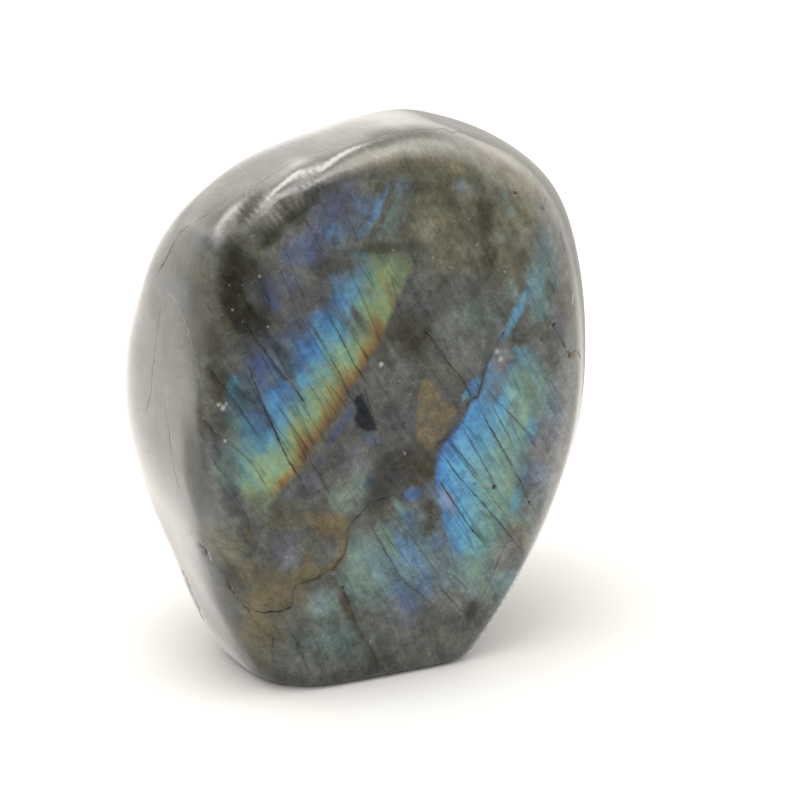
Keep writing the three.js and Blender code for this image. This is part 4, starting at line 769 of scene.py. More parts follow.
# angular patches of body colour: stone, cover, softness mm, how far they quiet the flash, (x, z) mm
FIELDS = [
    ("deepteal", 0.45, 1.1, 0.6, [(-29.6, 66.4), (-27.9, 66.3), (-26.7, 63.4), (-25.5, 60.3),
     (-24.4, 57.6), (-25.8, 57.6), (-27.5, 60.5), (-28.8, 63.5)]),
    ("deepteal", 0.45, 1.1, 0.5, [(-35.1, 61.9), (-33.8, 62), (-32.4, 58.5), (-31.5, 55.5), (-32.8, 55),
     (-34.2, 57.7)]),
    ("slate", 0.40, 0.9, 0.5, [(-16.7, 71.7), (-15.7, 71.5), (-13.9, 68.3), (-12.7, 65.7),
     (-14.2, 65.7), (-15.8, 68.6)]),
    ("night", 0.86, 0.9, 1.0, [(-14.2, 56), (-13.2, 54.2), (-12.2, 52.5), (-11.2, 50.7), (-10.6, 49),
     (-12.6, 49), (-14.8, 50), (-15.5, 51.7), (-14.8, 53), (-15.4, 54.5), (-15, 55.4)]),
    ("soot", 0.42, 1.6, 0.6, [(-37.8, 80.1), (-36.1, 82.3), (-34.3, 81), (-33.4, 78.9), (-33.9, 76.5),
     (-33.3, 73.9), (-32.1, 71.8), (-30.2, 69.7), (-28.6, 67.2), (-30.5, 66.2), (-33.1, 67),
     (-35.3, 68.8), (-37.2, 71.1), (-38.4, 74.2), (-39, 77.2)]),
    ("dusk", 0.50, 1.8, 0.3, [(-11.1, 42.1), (-9.4, 44.8), (-6.8, 45.6), (-4.8, 44.2), (-3.9, 41.1),
     (-5.1, 38.6), (-6.7, 37), (-8.9, 36), (-11.9, 35.9), (-12.4, 38.6)]),
    ("umber", 0.40, 1.6, 0.2, [(-6.4, 45.9), (-3.8, 46.6), (-0.6, 44.7), (0.7, 41.6), (-0.3, 38.3),
     (-3.3, 37.6), (-5.7, 39.5), (-5.5, 42.4)]),
]
# small chips and pits: kind (0 pale, 1 dark), radius mm, centre
SPECKS = [
    (0, 0.35, (-38.6, -28.2, 56.5)), (0, 0.48, (-37.9, -28.4, 55.9)), (0, 0.20, (-37.4, -28.5, 56.6)),
    (0, 0.22, (-37.7, -28.3, 50.2)), (0, 0.19, (-38.5, -28.3, 72.4)), (0, 0.15, (-24.2, -30.6, 84.4)),
    (0, 0.41, (-10.5, -31.3, 60.7)), (0, 0.37, (28.3, -28.3, 67.5)), (0, 0.26, (28, -28.6, 66.6)),
    (0, 0.41, (11.5, -31.6, 60.4)), (0, 0.48, (12.2, -31.6, 58.9)), (0, 0.17, (-5.4, -29.8, 44)),
    (0, 0.48, (-9.1, -24.4, 8)), (0, 0.28, (-10, -24.5, 8.7)), (0, 0.52, (2.7, -23.6, 3.5)),
    (0, 0.33, (3.4, -23.5, 3)), (1, 0.41, (12.6, -28.9, 35)), (1, 0.20, (8.7, -29.2, 36.3)),
    (1, 0.33, (20.3, -27.9, 30.8)), (1, 0.37, (15.7, -29.4, 87.2)), (1, 0.28, (22.9, -27.4, 85.1)),
    (1, 0.24, (21.6, -28.7, 83.9)), (1, 0.44, (27.1, -29.3, 57.3)), (1, 0.20, (1.2, -31.6, 63.5)),
    (1, 0.22, (2.8, -30.7, 51.4)), (1, 0.44, (23, -30.8, 63.7)), (0, 0.22, (-11.7, -25.9, 95.4)),
    (0, 0.20, (-10.6, -27.3, 94.6)), (0, 0.17, (-39, -27.8, 79.5)), (0, 0.22, (-40.8, -24.7, 81.5)),
    (0, 0.17, (7.5, -31.5, 79.5)), (0, 0.17, (-8.5, -31.7, 80.1)), (1, 0.33, (-15.7, -26.6, 20.1)),
    (1, 0.20, (-10.4, -24.5, 8.6)), (0, 0.13, (-36.5, -28.8, 76.6)), (0, 0.15, (-33.9, -29.4, 79.8)),
    (0, 0.11, (-36.8, -28.7, 76.1)), (0, 0.11, (-31.7, -29.9, 77.8)), (0, 0.13, (-34.4, -29.2, 70.3)),
    (0, 0.11, (-30.5, -30.1, 69.2)), (0, 0.11, (-30, -30.2, 70.7)), (0, 0.11, (-37.2, -28.6, 74.6)),
    (0, 0.13, (-37.9, -28.4, 71.7)), (0, 0.09, (-36.1, -28.8, 72.4)), (0, 0.11, (-33, -29.6, 76.8)),
    (0, 0.09, (-35.1, -29.1, 74.7)), (0, 0.11, (-36.8, -28.6, 68.6)), (0, 0.11, (-32.2, -29.7, 82.2)),
    (0, 0.11, (-28.2, -30.6, 80)), (0, 0.09, (-25.6, -30.7, 83.4)), (0, 0.11, (-22.4, -30.7, 84.4)),
    (0, 0.11, (2.4, -32, 76.1)), (0, 0.11, (4.5, -31.9, 75.2)), (0, 0.11, (0.3, -32, 77.4)),
    (0, 0.13, (-1.2, -31.9, 78.2)), (0, 0.13, (10.4, -30, 87.3)), (0, 0.11, (12.7, -31.6, 74.3)),
    (0, 0.09, (-15.9, -28.9, 38.3)), (0, 0.13, (-17.8, -27, 23.2)),
]
# steps between the ground flutes of the shoulder: depth, run-in and run-out mm, crease line mm
FLUTES = [
    (-0.34, 2.4, 2.20, [(-33.4, -23.7, 89.1), (-35.5, -25.1, 87.4), (-37.8, -25.9, 84.8),
     (-39.6, -25.7, 82.6), (-40.7, -25.1, 81.4)]),
    (0.32, 1.3, 1.50, [(-28.1, -23.8, 91.3), (-31.2, -26, 89.5), (-33.4, -27, 87.5),
     (-35.1, -27.5, 85.7), (-36.4, -27.7, 83.8)]),
    (-0.66, 1.7, 2.40, [(-18.7, -22.8, 94.7), (-21.7, -23.5, 93.5), (-24.6, -25.1, 92.2),
     (-27.7, -27.3, 90.4), (-29.8, -28.4, 88.6), (-31.3, -28.9, 86.9)]),
    (0.34, 1.2, 1.20, [(-15.3, -24.2, 95.3), (-18.3, -25.1, 94.2), (-21.3, -26.6, 92.7),
     (-24.1, -28, 91), (-26.1, -28.9, 89.5)]),
    (-0.46, 1.1, 1.20, [(-7.6, -24.1, 97.3), (-10.4, -24.2, 96.6), (-13.2, -24.3, 95.9),
     (-16.3, -25.5, 94.6), (-19.8, -27.3, 92.7), (-22.2, -28.2, 91.4), (-24.1, -28.9, 90.1)]),
]

POLISH_VEIL, FACE_LIGHT = 0.006, np.array((1.09, 1.06, 1.01))   # mirrored light and diffuse light on the face, to turn seen colours into base colours
EDGE_SIDE = -1.0
BAND_HUES = ((-1.5, -0.5, 0.4, 1.2, 2.3, 3.4, 5.0, 6.6, 8.6, 10.2, 12.5, 16.0, 21.0),
             (0.96, 0.90, 0.86, 0.81, 0.745, 0.67, 0.59, 0.48, 0.37, 0.29, 0.23, 0.18, 0.12))
BAND_REACH = ((0, 4, 12, 18, 24, 30, 38, 44, 50), (9, 11, 13, 18, 19, 15, 13, 12, 8))
BAND_WARMEST = ((1.0, 8.0, 14.0, 33.0, 41.0, 50.0), (0.62, 0.84, 1.0, 1.0, 0.74, 0.66))
BAND_COOLEST = ((8.0, 15.0, 21.0), (0.50, 0.40, 0.10))
BAND_SPREAD = ((0, 10, 18, 30, 38, 46), (0.85, 0.86, 1.0, 1.0, 0.92, 0.75))
BAND_LIFT = ((0.12, 0.25, 0.40, 0.60, 0.75, 0.86, 0.96), (0.88, 0.95, 0.95, 0.92, 0.90, 0.90, 0.85))
BAND_TWO_HUES = ((2.5, 3.6, 5.0, 7.0, 8.4, 10.5, 12.8, 15.5, 18.0, 20.5, 23.0), (0.14, 0.24, 0.30, 0.34, 0.36, 0.40, 0.45, 0.51, 0.54, 0.49, 0.44))
BAND_TWO_POWER = ((2.0, 4.0, 12.5, 15.0, 18.0, 21.0, 25.0, 30.0), (0.80, 0.90, 0.88, 0.78, 0.62, 0.34, 0.16, 0.0))
BAND_TWO_LIFT = ((3.0, 5.0, 9.0, 13.0, 17.0, 21.0, 25.0), (1.45, 1.40, 1.26, 1.20, 1.32, 1.25, 1.4))
CROSS_LEAN = -27.0
FLASH_COLOURS = [
    (0.00, (100, 96, 112)), (0.10, (78, 86, 118)), (0.20, (68, 98, 142)), (0.30, (78, 128, 170)),
    (0.40, (96, 152, 178)), (0.50, (116, 152, 148)), (0.58, (126, 154, 132)), (0.68, (138, 156, 114)),
    (0.77, (142, 136, 92)), (0.85, (132, 106, 72)), (0.92, (104, 80, 60)), (1.00, (70, 66, 62)),
]

# ------------------------------------------------- markings, point by point
V = mm.astype(float)
fn = np.cross(V[tris[:, 1]] - V[tris[:, 0]], V[tris[:, 2]] - V[tris[:, 0]])
NORMAL = np.zeros_like(V)
for c in range(3):
    np.add.at(NORMAL, tris[:, c], fn)
NORMAL /= np.linalg.norm(NORMAL, axis=1)[:, None]


def smooth(a, b, x):
    t = np.clip((x - a) / (b - a), 0, 1)
    return t * t * (3 - 2 * t)


def wobble(q, seed):
    """Smooth lattice noise from -1 to 1; q is (n, 3) in cells."""
    q = q + seed * 7.31
    i = np.floor(q).astype(np.int64)
    f = q - i
    f = f * f * (3 - 2 * f)

    def h(x, y, z):
        v = (x * 374761393 + y * 668265263 + z * 1274126177 + seed * 69069) & 0xFFFFFFFF
        v = ((v ^ (v >> 13)) * 1103515245) & 0xFFFFFFFF
        v = ((v ^ (v >> 16)) * 668265261) & 0xFFFFFFFF
        return (v ^ (v >> 15)) / 0x7FFFFFFF - 1.0

    r = 0.0
    for dx in (0, 1):
        for dy in (0, 1):
            for dz in (0, 1):
                w = (f[:, 0] if dx else 1 - f[:, 0]) * (f[:, 1] if dy else 1 - f[:, 1]) * (f[:, 2] if dz else 1 - f[:, 2])
                r = r + w * h(i[:, 0] + dx, i[:, 1] + dy, i[:, 2] + dz)
    return r


# Cleavage and twin planes: across is counted over the planes, along runs down them to the
# right, deep goes into the stone. They steepen towards the foot and the crown.
ACROSS, ALONG = np.array([0.815, 0.20, 0.544]), np.array([0.553, 0.05, -0.832])
DEEP = np.cross(ACROSS, ALONG)
across = V @ ACROSS
along = V @ ALONG
across = across - 0.0009 * (along + 38.0) ** 2
across = across + 0.30 * np.maximum(20 - V[:, 2], 0) ** 2 / 40 - 0.22 * np.maximum(V[:, 2] - 72, 0) ** 2 / 40
across = across + 0.9 * wobble(V / 21, 3) + 0.35 * wobble(V / 8, 4)
deep = V @ DEEP
G = np.stack([across, along, deep], 1)

# patch edges are drawn out along the planes, lamella by lamella
feather = (1.5 * wobble(G * np.array([0.30, 0.045, 0.1]), 11) + 1.0 * wobble(G * np.array([0.75, 0.10, 0.2]), 12)
           + 0.5 * wobble(G * np.array([1.7, 0.22, 0.4]), 13))
P = V + ALONG * feather[:, None]
P = P + 0.9 * np.stack([wobble(V / 4.5, 21), np.zeros(len(V)), wobble(V / 4.5, 22)], 1)
P = P + 0.4 * np.stack([wobble(V / 1.9, 23), np.zeros(len(V)), wobble(V / 1.9, 24)], 1)


def soft_patch(power, centre, u, v, where=None):
    """1 inside an ellipse lying on the surface, fading out around its rim."""
    m = np.array([u, v], float).T
    if where is None:      # small patches get a shorter fringe
        loose = np.clip(np.linalg.norm(m, axis=0).min() / 7.0, 0.15, 1.0)
        where = V + (P - V) * loose
    rel = where - np.array(centre, float)
    ab = rel @ np.linalg.pinv(m).T
    off = np.linalg.norm(rel - ab @ m.T, axis=1)
    r = np.sqrt((ab ** 2).sum(1) + (off / 9.0) ** 2)
    return smooth(0, 1, (1.3 - r) * power / 1.15)


def outline_gap(x, z, outline):
    """Signed distance to a closed outline on the face, negative inside (mm)."""
    q = np.array(outline, float)
    best = np.full(len(x), 1e9)
    inside = np.zeros(len(x), bool)
    for (ax, az), (bx, bz) in zip(q, np.roll(q, -1, 0)):
        ex, ez = bx - ax, bz - az
        t = np.clip(((x - ax) * ex + (z - az) * ez) / (ex * ex + ez * ez), 0, 1)
        best = np.minimum(best, np.hypot(x - ax - t * ex, z - az - t * ez))
        if az != bz:
            hit = ((az > z) != (bz > z)) & (x < (bx - ax) * (z - az) / (bz - az) + ax)
            inside ^= hit
    return np.where(inside, -best, best)


def line_gap(p, line, normal=None):
    """Distance to a 3-D line of points, its sign by side, and the length run to the nearest point."""
    q = np.array(line, float)
    best, sign, run = np.full(len(p), 1e9), np.ones(len(p)), np.zeros(len(p))
    s0 = 0.0
    for a, b in zip(q[:-1], q[1:]):
        e = b - a
        L = np.linalg.norm(e)
        t = np.clip((p - a) @ e / (L * L), 0, 1)
        rel = p - a - t[:, None] * e
        d = np.linalg.norm(rel, axis=1)
        near = d < best
        if normal is not None:
            side = np.sign((np.cross(e / L, rel) * normal).sum(1))
            sign = np.where(near, np.where(side == 0, 1, side), sign)
        run = np.where(near, s0 + t * L, run)
        best = np.where(near, d, best)
        s0 += L
    return best, sign, run, s0


# the flutes ground along the left shoulder: low ridges with a groove between
step = np.zeros(len(V))
for depth, run_in, run_out, line in FLUTES:
    d, sgn, run, length = line_gap(V, line, NORMAL)
    ends = smooth(-1.5, 4.5, run) * smooth(-1.5, 4.0, length - run)
    step = step + depth * ends * np.exp(-np.sqrt(d * d + 0.25) / np.where(sgn > 0, run_out, run_in))
V = V - NORMAL * step[:, None]


def srgb_lin(c):
    c = np.array(c, float) / 255
    return np.where(c <= 0.04045, c / 12.92, ((c + 0.055) / 1.055) ** 2.4)


def seen(c):
    """Base colour that looks like c (0-255) on the polished face in this light."""
    return np.maximum((srgb_lin(c) - POLISH_VEIL) / FACE_LIGHT, 0.004)


# body colour
body = np.tile(seen((97, 98, 94)), (len(V), 1))
side = smooth(-0.75, -0.35, NORMAL[:, 1])
for seed, size, stone_name, cover in ((31, 15, "moss", 0.35), (37, 9, "slate", 0.40), (39, 7, "olive", 0.35),
                                      (44, 5, "umber", 0.35), (46, 6, "fog", 0.30)):
    m = cover * smooth(0.0, 0.65, wobble(P / size, seed) + 0.5 * wobble(P / size * 2.3, seed + 1))
    body = body * (1 - m[:, None]) + seen(STONES[stone_name]) * m[:, None]
# the hidden sides: greyer, with darker and olive fields
back = smooth(-0.1, 0.5, NORMAL[:, 1])
dark = smooth(0.05, 0.7, wobble(P / 19, 33) + 0.45 * wobble(P / 6.5, 34))
body = body * (1 - (0.62 * back * dark)[:, None]) + seen(STONES["umber"]) * (0.62 * back * dark)[:, None]
pale = smooth(0.15, 0.8, wobble(P / 15, 35) + 0.4 * wobble(P / 6, 36))
body = body * (1 - (0.5 * back * pale)[:, None]) + seen(STONES["fog"]) * (0.5 * back * pale)[:, None]
for stone_name, cover, power, centre, u, v in TINTS:
    m = (cover * soft_patch(power, centre, u, v))[:, None]
    body = body * (1 - m) + seen(STONES[stone_name]) * m

hush = np.zeros(len(V))
for stone_name, cover, soft, quiet, outline in FIELDS:
    m = V + (P - V) * min(0.6, soft * 0.4)
    m = smooth(0.5, -0.5, outline_gap(m[:, 0], m[:, 2], outline) / soft) * (NORMAL[:, 1] < -0.2)
    body = body * (1 - (cover * m)[:, None]) + seen(STONES[stone_name]) * (cover * m)[:, None]
    hush = np.maximum(hush, quiet * m)

# flash: hue, strength and lightness
front = smooth(-0.35, -0.7, NORMAL[:, 1])
hue, power_, lift = np.full(len(V), 0.3), np.zeros(len(V)), np.ones(len(V))


def paint(strength, new_hue, new_lift):
    global hue, power_, lift
    old = power_ * (1 - strength)
    w = strength * 1.5
    hue = (hue * old + new_hue * w) / np.maximum(old + w, 1e-6)
    lift = (lift * old + new_lift * w) / np.maximum(old + w, 1e-6)
    power_ = 1 - (1 - power_) * (1 - strength)


# first band: hue runs with the distance from its straight lower edge
E = V + (P - V) * 0.55
ux, uz = BAND_EDGE[-1][0] - BAND_EDGE[0][0], BAND_EDGE[-1][1] - BAND_EDGE[0][1]
run = ((P[:, 0] - BAND_EDGE[0][0]) * ux + (P[:, 2] - BAND_EDGE[0][1]) * uz) / math.hypot(ux, uz)
edge = line_gap(np.stack([E[:, 0], np.zeros(len(E)), E[:, 2]], 1), [(x, 0, z) for x, z in BAND_EDGE], np.array([0.0, 1.0, 0.0]))
gap = edge[0] * edge[1] * EDGE_SIDE
E = V + (P - V) * np.interp(gap, (0, 7), (0.22, 0.75))[:, None]
edge = line_gap(np.stack([E[:, 0], np.zeros(len(E)), E[:, 2]], 1), [(x, 0, z) for x, z in BAND_EDGE], np.array([0.0, 1.0, 0.0]))
gap = edge[0] * edge[1] * EDGE_SIDE - np.interp(run, (36, 44, 53), (0, 1.6, 3.5))
reach = np.interp(run, *BAND_REACH)
band = (smooth(-2.0, 3.5, run) * smooth(53, 44, run) * smooth(-1.1, 0.35, gap)
        * (0.65 * (1 - smooth(0.75 * reach, 1.15 * reach, gap)) + 0.35 * (1 - smooth(0.45 * reach, 0.85 * reach, gap))))
band = band * smooth(0.0, 6.0, run)
band_hue = np.interp(gap * np.interp(run, *BAND_SPREAD), *BAND_HUES)
band_hue = np.minimum(band_hue, np.interp(run, *BAND_WARMEST))      # no orange towards either end
band_hue = np.maximum(band_hue, np.interp(run, *BAND_COOLEST))      # and no blue in the lower one
paint(0.96 * band * front, band_hue, np.interp(band_hue, *BAND_LIFT))

# second band: hue runs across it, from its crisp left edge
ground = V + (P - V) * 0.35
x2 = E[:, 0] - 0.45 * (np.maximum(E[:, 2], 40) - 47)
rim = np.maximum(np.interp(x2, (8, 15), (0.6, 6.0)), np.interp(V[:, 2], (20, 30), (6.0, 0.6)))   # crisp on the left only
inside = smooth(0.5, -1, outline_gap(ground[:, 0], ground[:, 2], BAND_TWO) / rim) * front
level = np.interp(x2, *BAND_TWO_POWER)
for strength, power, centre, u, v in BAND_TWO_PARTS:
    m = soft_patch(power, centre, u, v)
    level = np.clip(level + strength * m, 0, 0.97)
paint(level * inside, np.interp(x2, *BAND_TWO_HUES), np.interp(x2, *BAND_TWO_LIFT))

for strength, h, light, power, centre, u, v in FLASHES:
    paint(strength * soft_patch(power, centre, u, v) * front, h, light)
for strength, power, centre, u, v in QUIET:
    power_ = power_ * (1 - strength * soft_patch(power, centre, u, v))
power_ = power_ * (1 - hush)
# faint flash on the sides that the light catches less
faint = 0.42 * back * smooth(0.1, 0.75, wobble(P / 16, 41) + 0.35 * wobble(P / 5, 42))
paint(faint, 0.42 + 0.22 * wobble(P / 24, 43) + 0.08 * wobble(P / 6, 44), 1.0)

# stains
stain, tone = np.full(len(V), 6.0), np.zeros(len(V))
Q = V + 0.45 * np.stack([wobble(V / 2.2, 51), np.zeros(len(V)), wobble(V / 2.2, 52)], 1)
for t, soft, outline in STAINS:
    g = outline_gap(Q[:, 0], Q[:, 2], outline) / soft * 0.5
    g = np.where(NORMAL[:, 1] < -0.2, g, 6.0)
    tone = np.where(g < stain, t, tone)
    stain = np.minimum(stain, g)
stain = np.clip(stain, -6, 6)

# cracks and the painted edge highlight, in groups whose members keep clear of each other
fine = []
for row in CRACKS_AND_EDGE_HIGHLIGHT:
    q = np.array(row[5], float)
    fine.append(np.concatenate([a + (b - a) * np.linspace(0, 1, 6)[:, None] for a, b in zip(q[:-1], q[1:])]))
groups = []
for i, row in enumerate(CRACKS_AND_EDGE_HIGHLIGHT):
    for grp in groups:
        if grp["kind"] == row[1] and all(
                np.linalg.norm(fine[i][:, None] - fine[j][None], axis=2).min() > 2.7 for j in grp["members"]):
            grp["members"].append(i)
            break
    else:
        groups.append({"kind": row[1], "members": [i]})
sink = np.zeros(len(V))
for grp in groups:
    gapv = np.full(len(V), 9.0)
    half = np.full(len(V), 0.1)
    force = np.zeros(len(V))
    best = np.full(len(V), 1e9)
    for j in grp["members"]:
        name, kind, width, strength, depth, line = CRACKS_AND_EDGE_HIGHLIGHT[j]
        q = np.array(line, float)
        box = np.where(np.all((V > q.min(0) - 3) & (V < q.max(0) + 3), axis=1))[0]
        if not len(box):
            continue
        d, sgn, run, length = line_gap(V[box], line, NORMAL[box])
        ends = smooth(0, min(2.5, length * 0.3), run) * smooth(0, min(3.0, length * 0.35), length - run)
        if name.startswith(("edge_", "fault_", "branch_", "rim")):
            ends = smooth(-0.3, 0.6, run) * smooth(-0.3, 0.6, length - run)
        rr = np.stack([run / 2.3, np.full(len(run), j * 3.7), np.zeros(len(run))], 1)
        vary = wobble(rr, 61)
        vary2 = wobble(rr * 2.7, 62)
        near = d < best[box]
        k = box[near]
        best[k] = d[near]
        gapv[k] = (d * sgn)[near]
        half[k] = (0.5 * width * (0.85 + 0.45 * vary + 0.25 * vary2))[near]
        force[k] = (strength * ends * (0.86 + 0.3 * vary) * (1 - smooth(0.75, 1.25, d)))[near]
        cut = depth * ends * (0.75 + 0.5 * vary2) * np.exp(-(d / max(0.34, width * 0.62)) ** 2)
        sink[box] = np.maximum(sink[box], cut)
    grp["data"] = np.stack([gapv, np.clip(half, 0.03, 1), np.clip(force, 0, 1)], 1)

# chips and pits
chip = np.full((len(V), 2), 5.0)
for kind, radius, centre in SPECKS:
    d = np.linalg.norm((V - np.array(centre)) * np.array([1, 0.8, 1]), axis=1)
    chip[:, kind] = np.minimum(chip[:, kind], d - radius)
    if kind == 1 or radius > 0.6:
        sink = np.maximum(sink, 0.10 * np.exp(-(d / max(radius, 0.3)) ** 2))

# the open cracks, chips and pits are cut into the mesh itself
V = V - NORMAL * sink[:, None]
V[:, 2] = np.maximum(V[:, 2], cad_lo[2] * 1000)
mesh.vertices.foreach_set("co", (V / 1000).astype(np.float32).ravel())
mesh.update()


def keep_vector(name, data):
    a = mesh.attributes.new(name, "FLOAT_VECTOR", "POINT")
    a.data.foreach_set("vector", np.ascontiguousarray(data, np.float32).ravel())


keep_vector("grain", G)
keep_vector("body", body)
keep_vector("flash", np.stack([np.clip(hue, 0, 1), np.clip(power_, 0, 1), lift], 1))
keep_vector("stain", np.stack([stain, tone, 0.45 + 0.55 * np.maximum(front, back)], 1))
crossed = np.clip(sum(soft_patch(*row) for row in CROSS_PATCHES), 0, 1)
crossed = crossed - np.clip(sum(row[0] * soft_patch(*row[1:]) for row in DULL_PATCHES), 0, 1)    # below zero: dull
keep_vector("chips", np.stack([chip[:, 0], chip[:, 1], crossed], 1))
for i, grp in enumerate(groups):
    grp["name"] = "crack_%d" % i
    keep_vector(grp["name"], grp["data"])

# ------------------------------------------------------------ the material
stone_mat = bpy.data.materials.new("labradorite_polished")
stone_mat.use_nodes = True
nt = stone_mat.node_tree
nt.nodes.clear()
mesh.materials.append(stone_mat)


def put(sock, v):
    if isinstance(v, bpy.types.NodeSocket):
        nt.links.new(v, sock)
    else:
        sock.default_value = v


def node(kind, **kw):
    n = nt.nodes.new(kind)
    for k, v in kw.items():
        setattr(n, k, v)
    return n


def calc(op, a, b=None, c=None, clamp=False):
    n = node("ShaderNodeMath", operation=op, use_clamp=clamp)
    for s, v in zip(n.inputs, (a, b, c)):
        if v is not None:
            put(s, v)
    return n.outputs[0]


def stretch(vec, x, y, z):
    n = node("ShaderNodeVectorMath", operation="MULTIPLY")
    put(n.inputs[0], vec)
    n.inputs[1].default_value = (x, y, z)
    return n.outputs[0]


def noise(vec, scale=1.0, detail=2.0, rough=0.5, distortion=0.0, colour=False):
    n = node("ShaderNodeTexNoise")
    put(n.inputs["Vector"], vec)
    n.inputs["Scale"].default_value = scale
    n.inputs["Detail"].default_value = detail
    n.inputs["Roughness"].default_value = rough
    n.inputs["Distortion"].default_value = distortion
    return n.outputs["Color" if colour else "Fac"]


def cells(vec, feature="F1"):
    n = node("ShaderNodeTexVoronoi", feature=feature)
    put(n.inputs["Vector"], vec)
    n.inputs["Scale"].default_value = 1.0
    return n.outputs


def ease(v, lo, hi, a=0.0, b=1.0):
    n = node("ShaderNodeMapRange", interpolation_type="SMOOTHSTEP")
    for name, x in (("Value", v), ("From Min", lo), ("From Max", hi), ("To Min", a), ("To Max", b)):
        put(n.inputs[name], x)
    return n.outputs["Result"]


def blend(fac, a, b, mode="MIX"):
    n = node("ShaderNodeMix", data_type="RGBA", blend_type=mode)
    put(n.inputs[0], fac)
    for s, v in ((n.inputs[6], a), (n.inputs[7], b)):
        if isinstance(v, (tuple, list, np.ndarray)):
            s.default_value = (*[float(x) for x in v[:3]], 1)
        else:
            put(s, v)
    return n.outputs[2]


def grey(v):
    n = node("ShaderNodeCombineColor")
    for i in range(3):
        put(n.inputs[i], v)
    return n.outputs[0]


def scaled(colour, v):
    """Colour times a number."""
    n = node("ShaderNodeVectorMath", operation="SCALE")
    put(n.inputs[0], colour)
    put(n.inputs["Scale"], v)
    return n.outputs[0]


def stored(name):
    n = node("ShaderNodeAttribute", attribute_type="GEOMETRY", attribute_name=name)
    return n.outputs["Vector"]


def split(vec):
    n = node("ShaderNodeSeparateXYZ")
    put(n.inputs[0], vec)
    return n.outputs[0], n.outputs[1], n.outputs[2]


where = node("ShaderNodeTexCoord").outputs["Object"]
where = stretch(where, 1000.0, 1000.0, 1000.0)          # millimetres
grain = stored("grain")
flash_hue, flash_power, flash_lift = split(stored("flash"))
stain_gap, stain_tone, lively = split(stored("stain"))
chip_gap, pit_gap, crossed = split(stored("chips"))
dull = calc("MAXIMUM", calc("MULTIPLY", crossed, -1.0), 0.0)
crossed = calc("MAXIMUM", crossed, 0.0)

# twin lamellae: blocks drawn out along the planes, and finer streaks inside them
block = split(cells(stretch(grain, 0.40, 0.060, 0.12))["Color"])
block_fine = split(cells(stretch(grain, 1.25, 0.13, 0.3))["Color"])
streak = noise(stretch(grain, 0.95, 0.065, 0.2), detail=3.0, rough=0.6)
streak_fine = noise(stretch(grain, 3.4, 0.24, 0.9), detail=2.0, rough=0.6)
streak = calc("ADD", 0.5, calc("MULTIPLY", calc("SUBTRACT", streak, 0.5), calc("SUBTRACT", 1.0, calc("MULTIPLY", crossed, 0.8))))
streak_fine = calc("ADD", 0.5, calc("MULTIPLY", calc("SUBTRACT", streak_fine, 0.5), calc("SUBTRACT", 1.0, calc("MULTIPLY", crossed, 0.8))))
streak_wide = noise(stretch(grain, 0.30, 0.030, 0.1), detail=2.0, rough=0.5)
mottle = noise(where, 0.16, 5.0, 0.62)
mottle_fine = noise(where, 0.75, 4.0, 0.65)
grit = noise(where, 3.6, 2.0, 0.7)

# body colour with streaks and mottling
cloud = noise(where, 0.42, 4.0, 0.62, 0.7)
value = calc("MULTIPLY", ease(mottle, 0.28, 0.72, 0.80, 1.20), ease(mottle_fine, 0.25, 0.75, 0.82, 1.20))
value = calc("MULTIPLY", value, ease(cloud, 0.28, 0.72, 0.82, 1.17))
value = calc("MULTIPLY", value, ease(streak, 0.28, 0.72, 0.90, 1.10))
value = calc("MULTIPLY", value, ease(streak_wide, 0.30, 0.70, 0.93, 1.07))
value = calc("MULTIPLY", value, ease(streak_fine, 0.25, 0.75, 0.96, 1.04))
value = calc("MULTIPLY", value, ease(grit, 0.25, 0.75, 0.85, 1.16))
# finer streaks that lean the other way, in the upper haze
cross_at = node("ShaderNodeVectorRotate", rotation_type="Y_AXIS")
put(cross_at.inputs["Vector"], where)
cross_at.inputs["Angle"].default_value = math.radians(CROSS_LEAN)
cross = noise(stretch(cross_at.outputs[0], 1.5, 0.4, 0.16), detail=3.0, rough=0.6)
cross = calc("MULTIPLY", calc("SUBTRACT", cross, 0.5), crossed)
value = calc("MULTIPLY", value, calc("MULTIPLY_ADD", cross, 1.1, 1.0))
value = calc("MULTIPLY", value, ease(block[2], 0.0, 1.0, 0.94, 1.06))
value = calc("ADD", 1.0, calc("MULTIPLY", calc("SUBTRACT", value, 1.0), lively))
base = scaled(stored("body"), value)
olive_mix = calc("MULTIPLY", ease(noise(where, 0.11, 3.0, 0.6, 0.6), 0.50, 0.72), 0.35)
base = blend(olive_mix, base, scaled(base, 1.0))
base = blend(olive_mix, base, blend(1.0, base, (1.12, 1.02, 0.74), "MULTIPLY"))
cool_mix = calc("MULTIPLY", ease(noise(stretch(grain, 0.22, 0.05, 0.1), 1.0, 3.0, 0.55), 0.52, 0.70), 0.30)
base = blend(cool_mix, base, blend(1.0, base, (0.88, 1.0, 1.12), "MULTIPLY"))

# flash: a hue ramp whose place is stepped from lamella to lamella
h = calc("ADD", flash_hue, calc("MULTIPLY_ADD", block[0], 0.07, -0.035))
h = calc("ADD", h, calc("MULTIPLY_ADD", block_fine[0], 0.03, -0.015))
h = calc("ADD", h, calc("MULTIPLY_ADD", streak, 0.12, -0.06))
h = calc("ADD", h, calc("MULTIPLY_ADD", cloud, 0.08, -0.04))
h = calc("ADD", h, calc("MULTIPLY_ADD", mottle_fine, 0.10, -0.05))
ramp = node("ShaderNodeValToRGB")
ramp.color_ramp.interpolation = "LINEAR"
while len(ramp.color_ramp.elements) > 1:
    ramp.color_ramp.elements.remove(ramp.color_ramp.elements[-1])
for i, (pos, c) in enumerate(FLASH_COLOURS):
    e = ramp.color_ramp.elements[0] if i == 0 else ramp.color_ramp.elements.new(pos)
    e.position = pos
    e.color = (*[float(x) for x in seen(c)], 1)
put(ramp.inputs["Fac"], h)
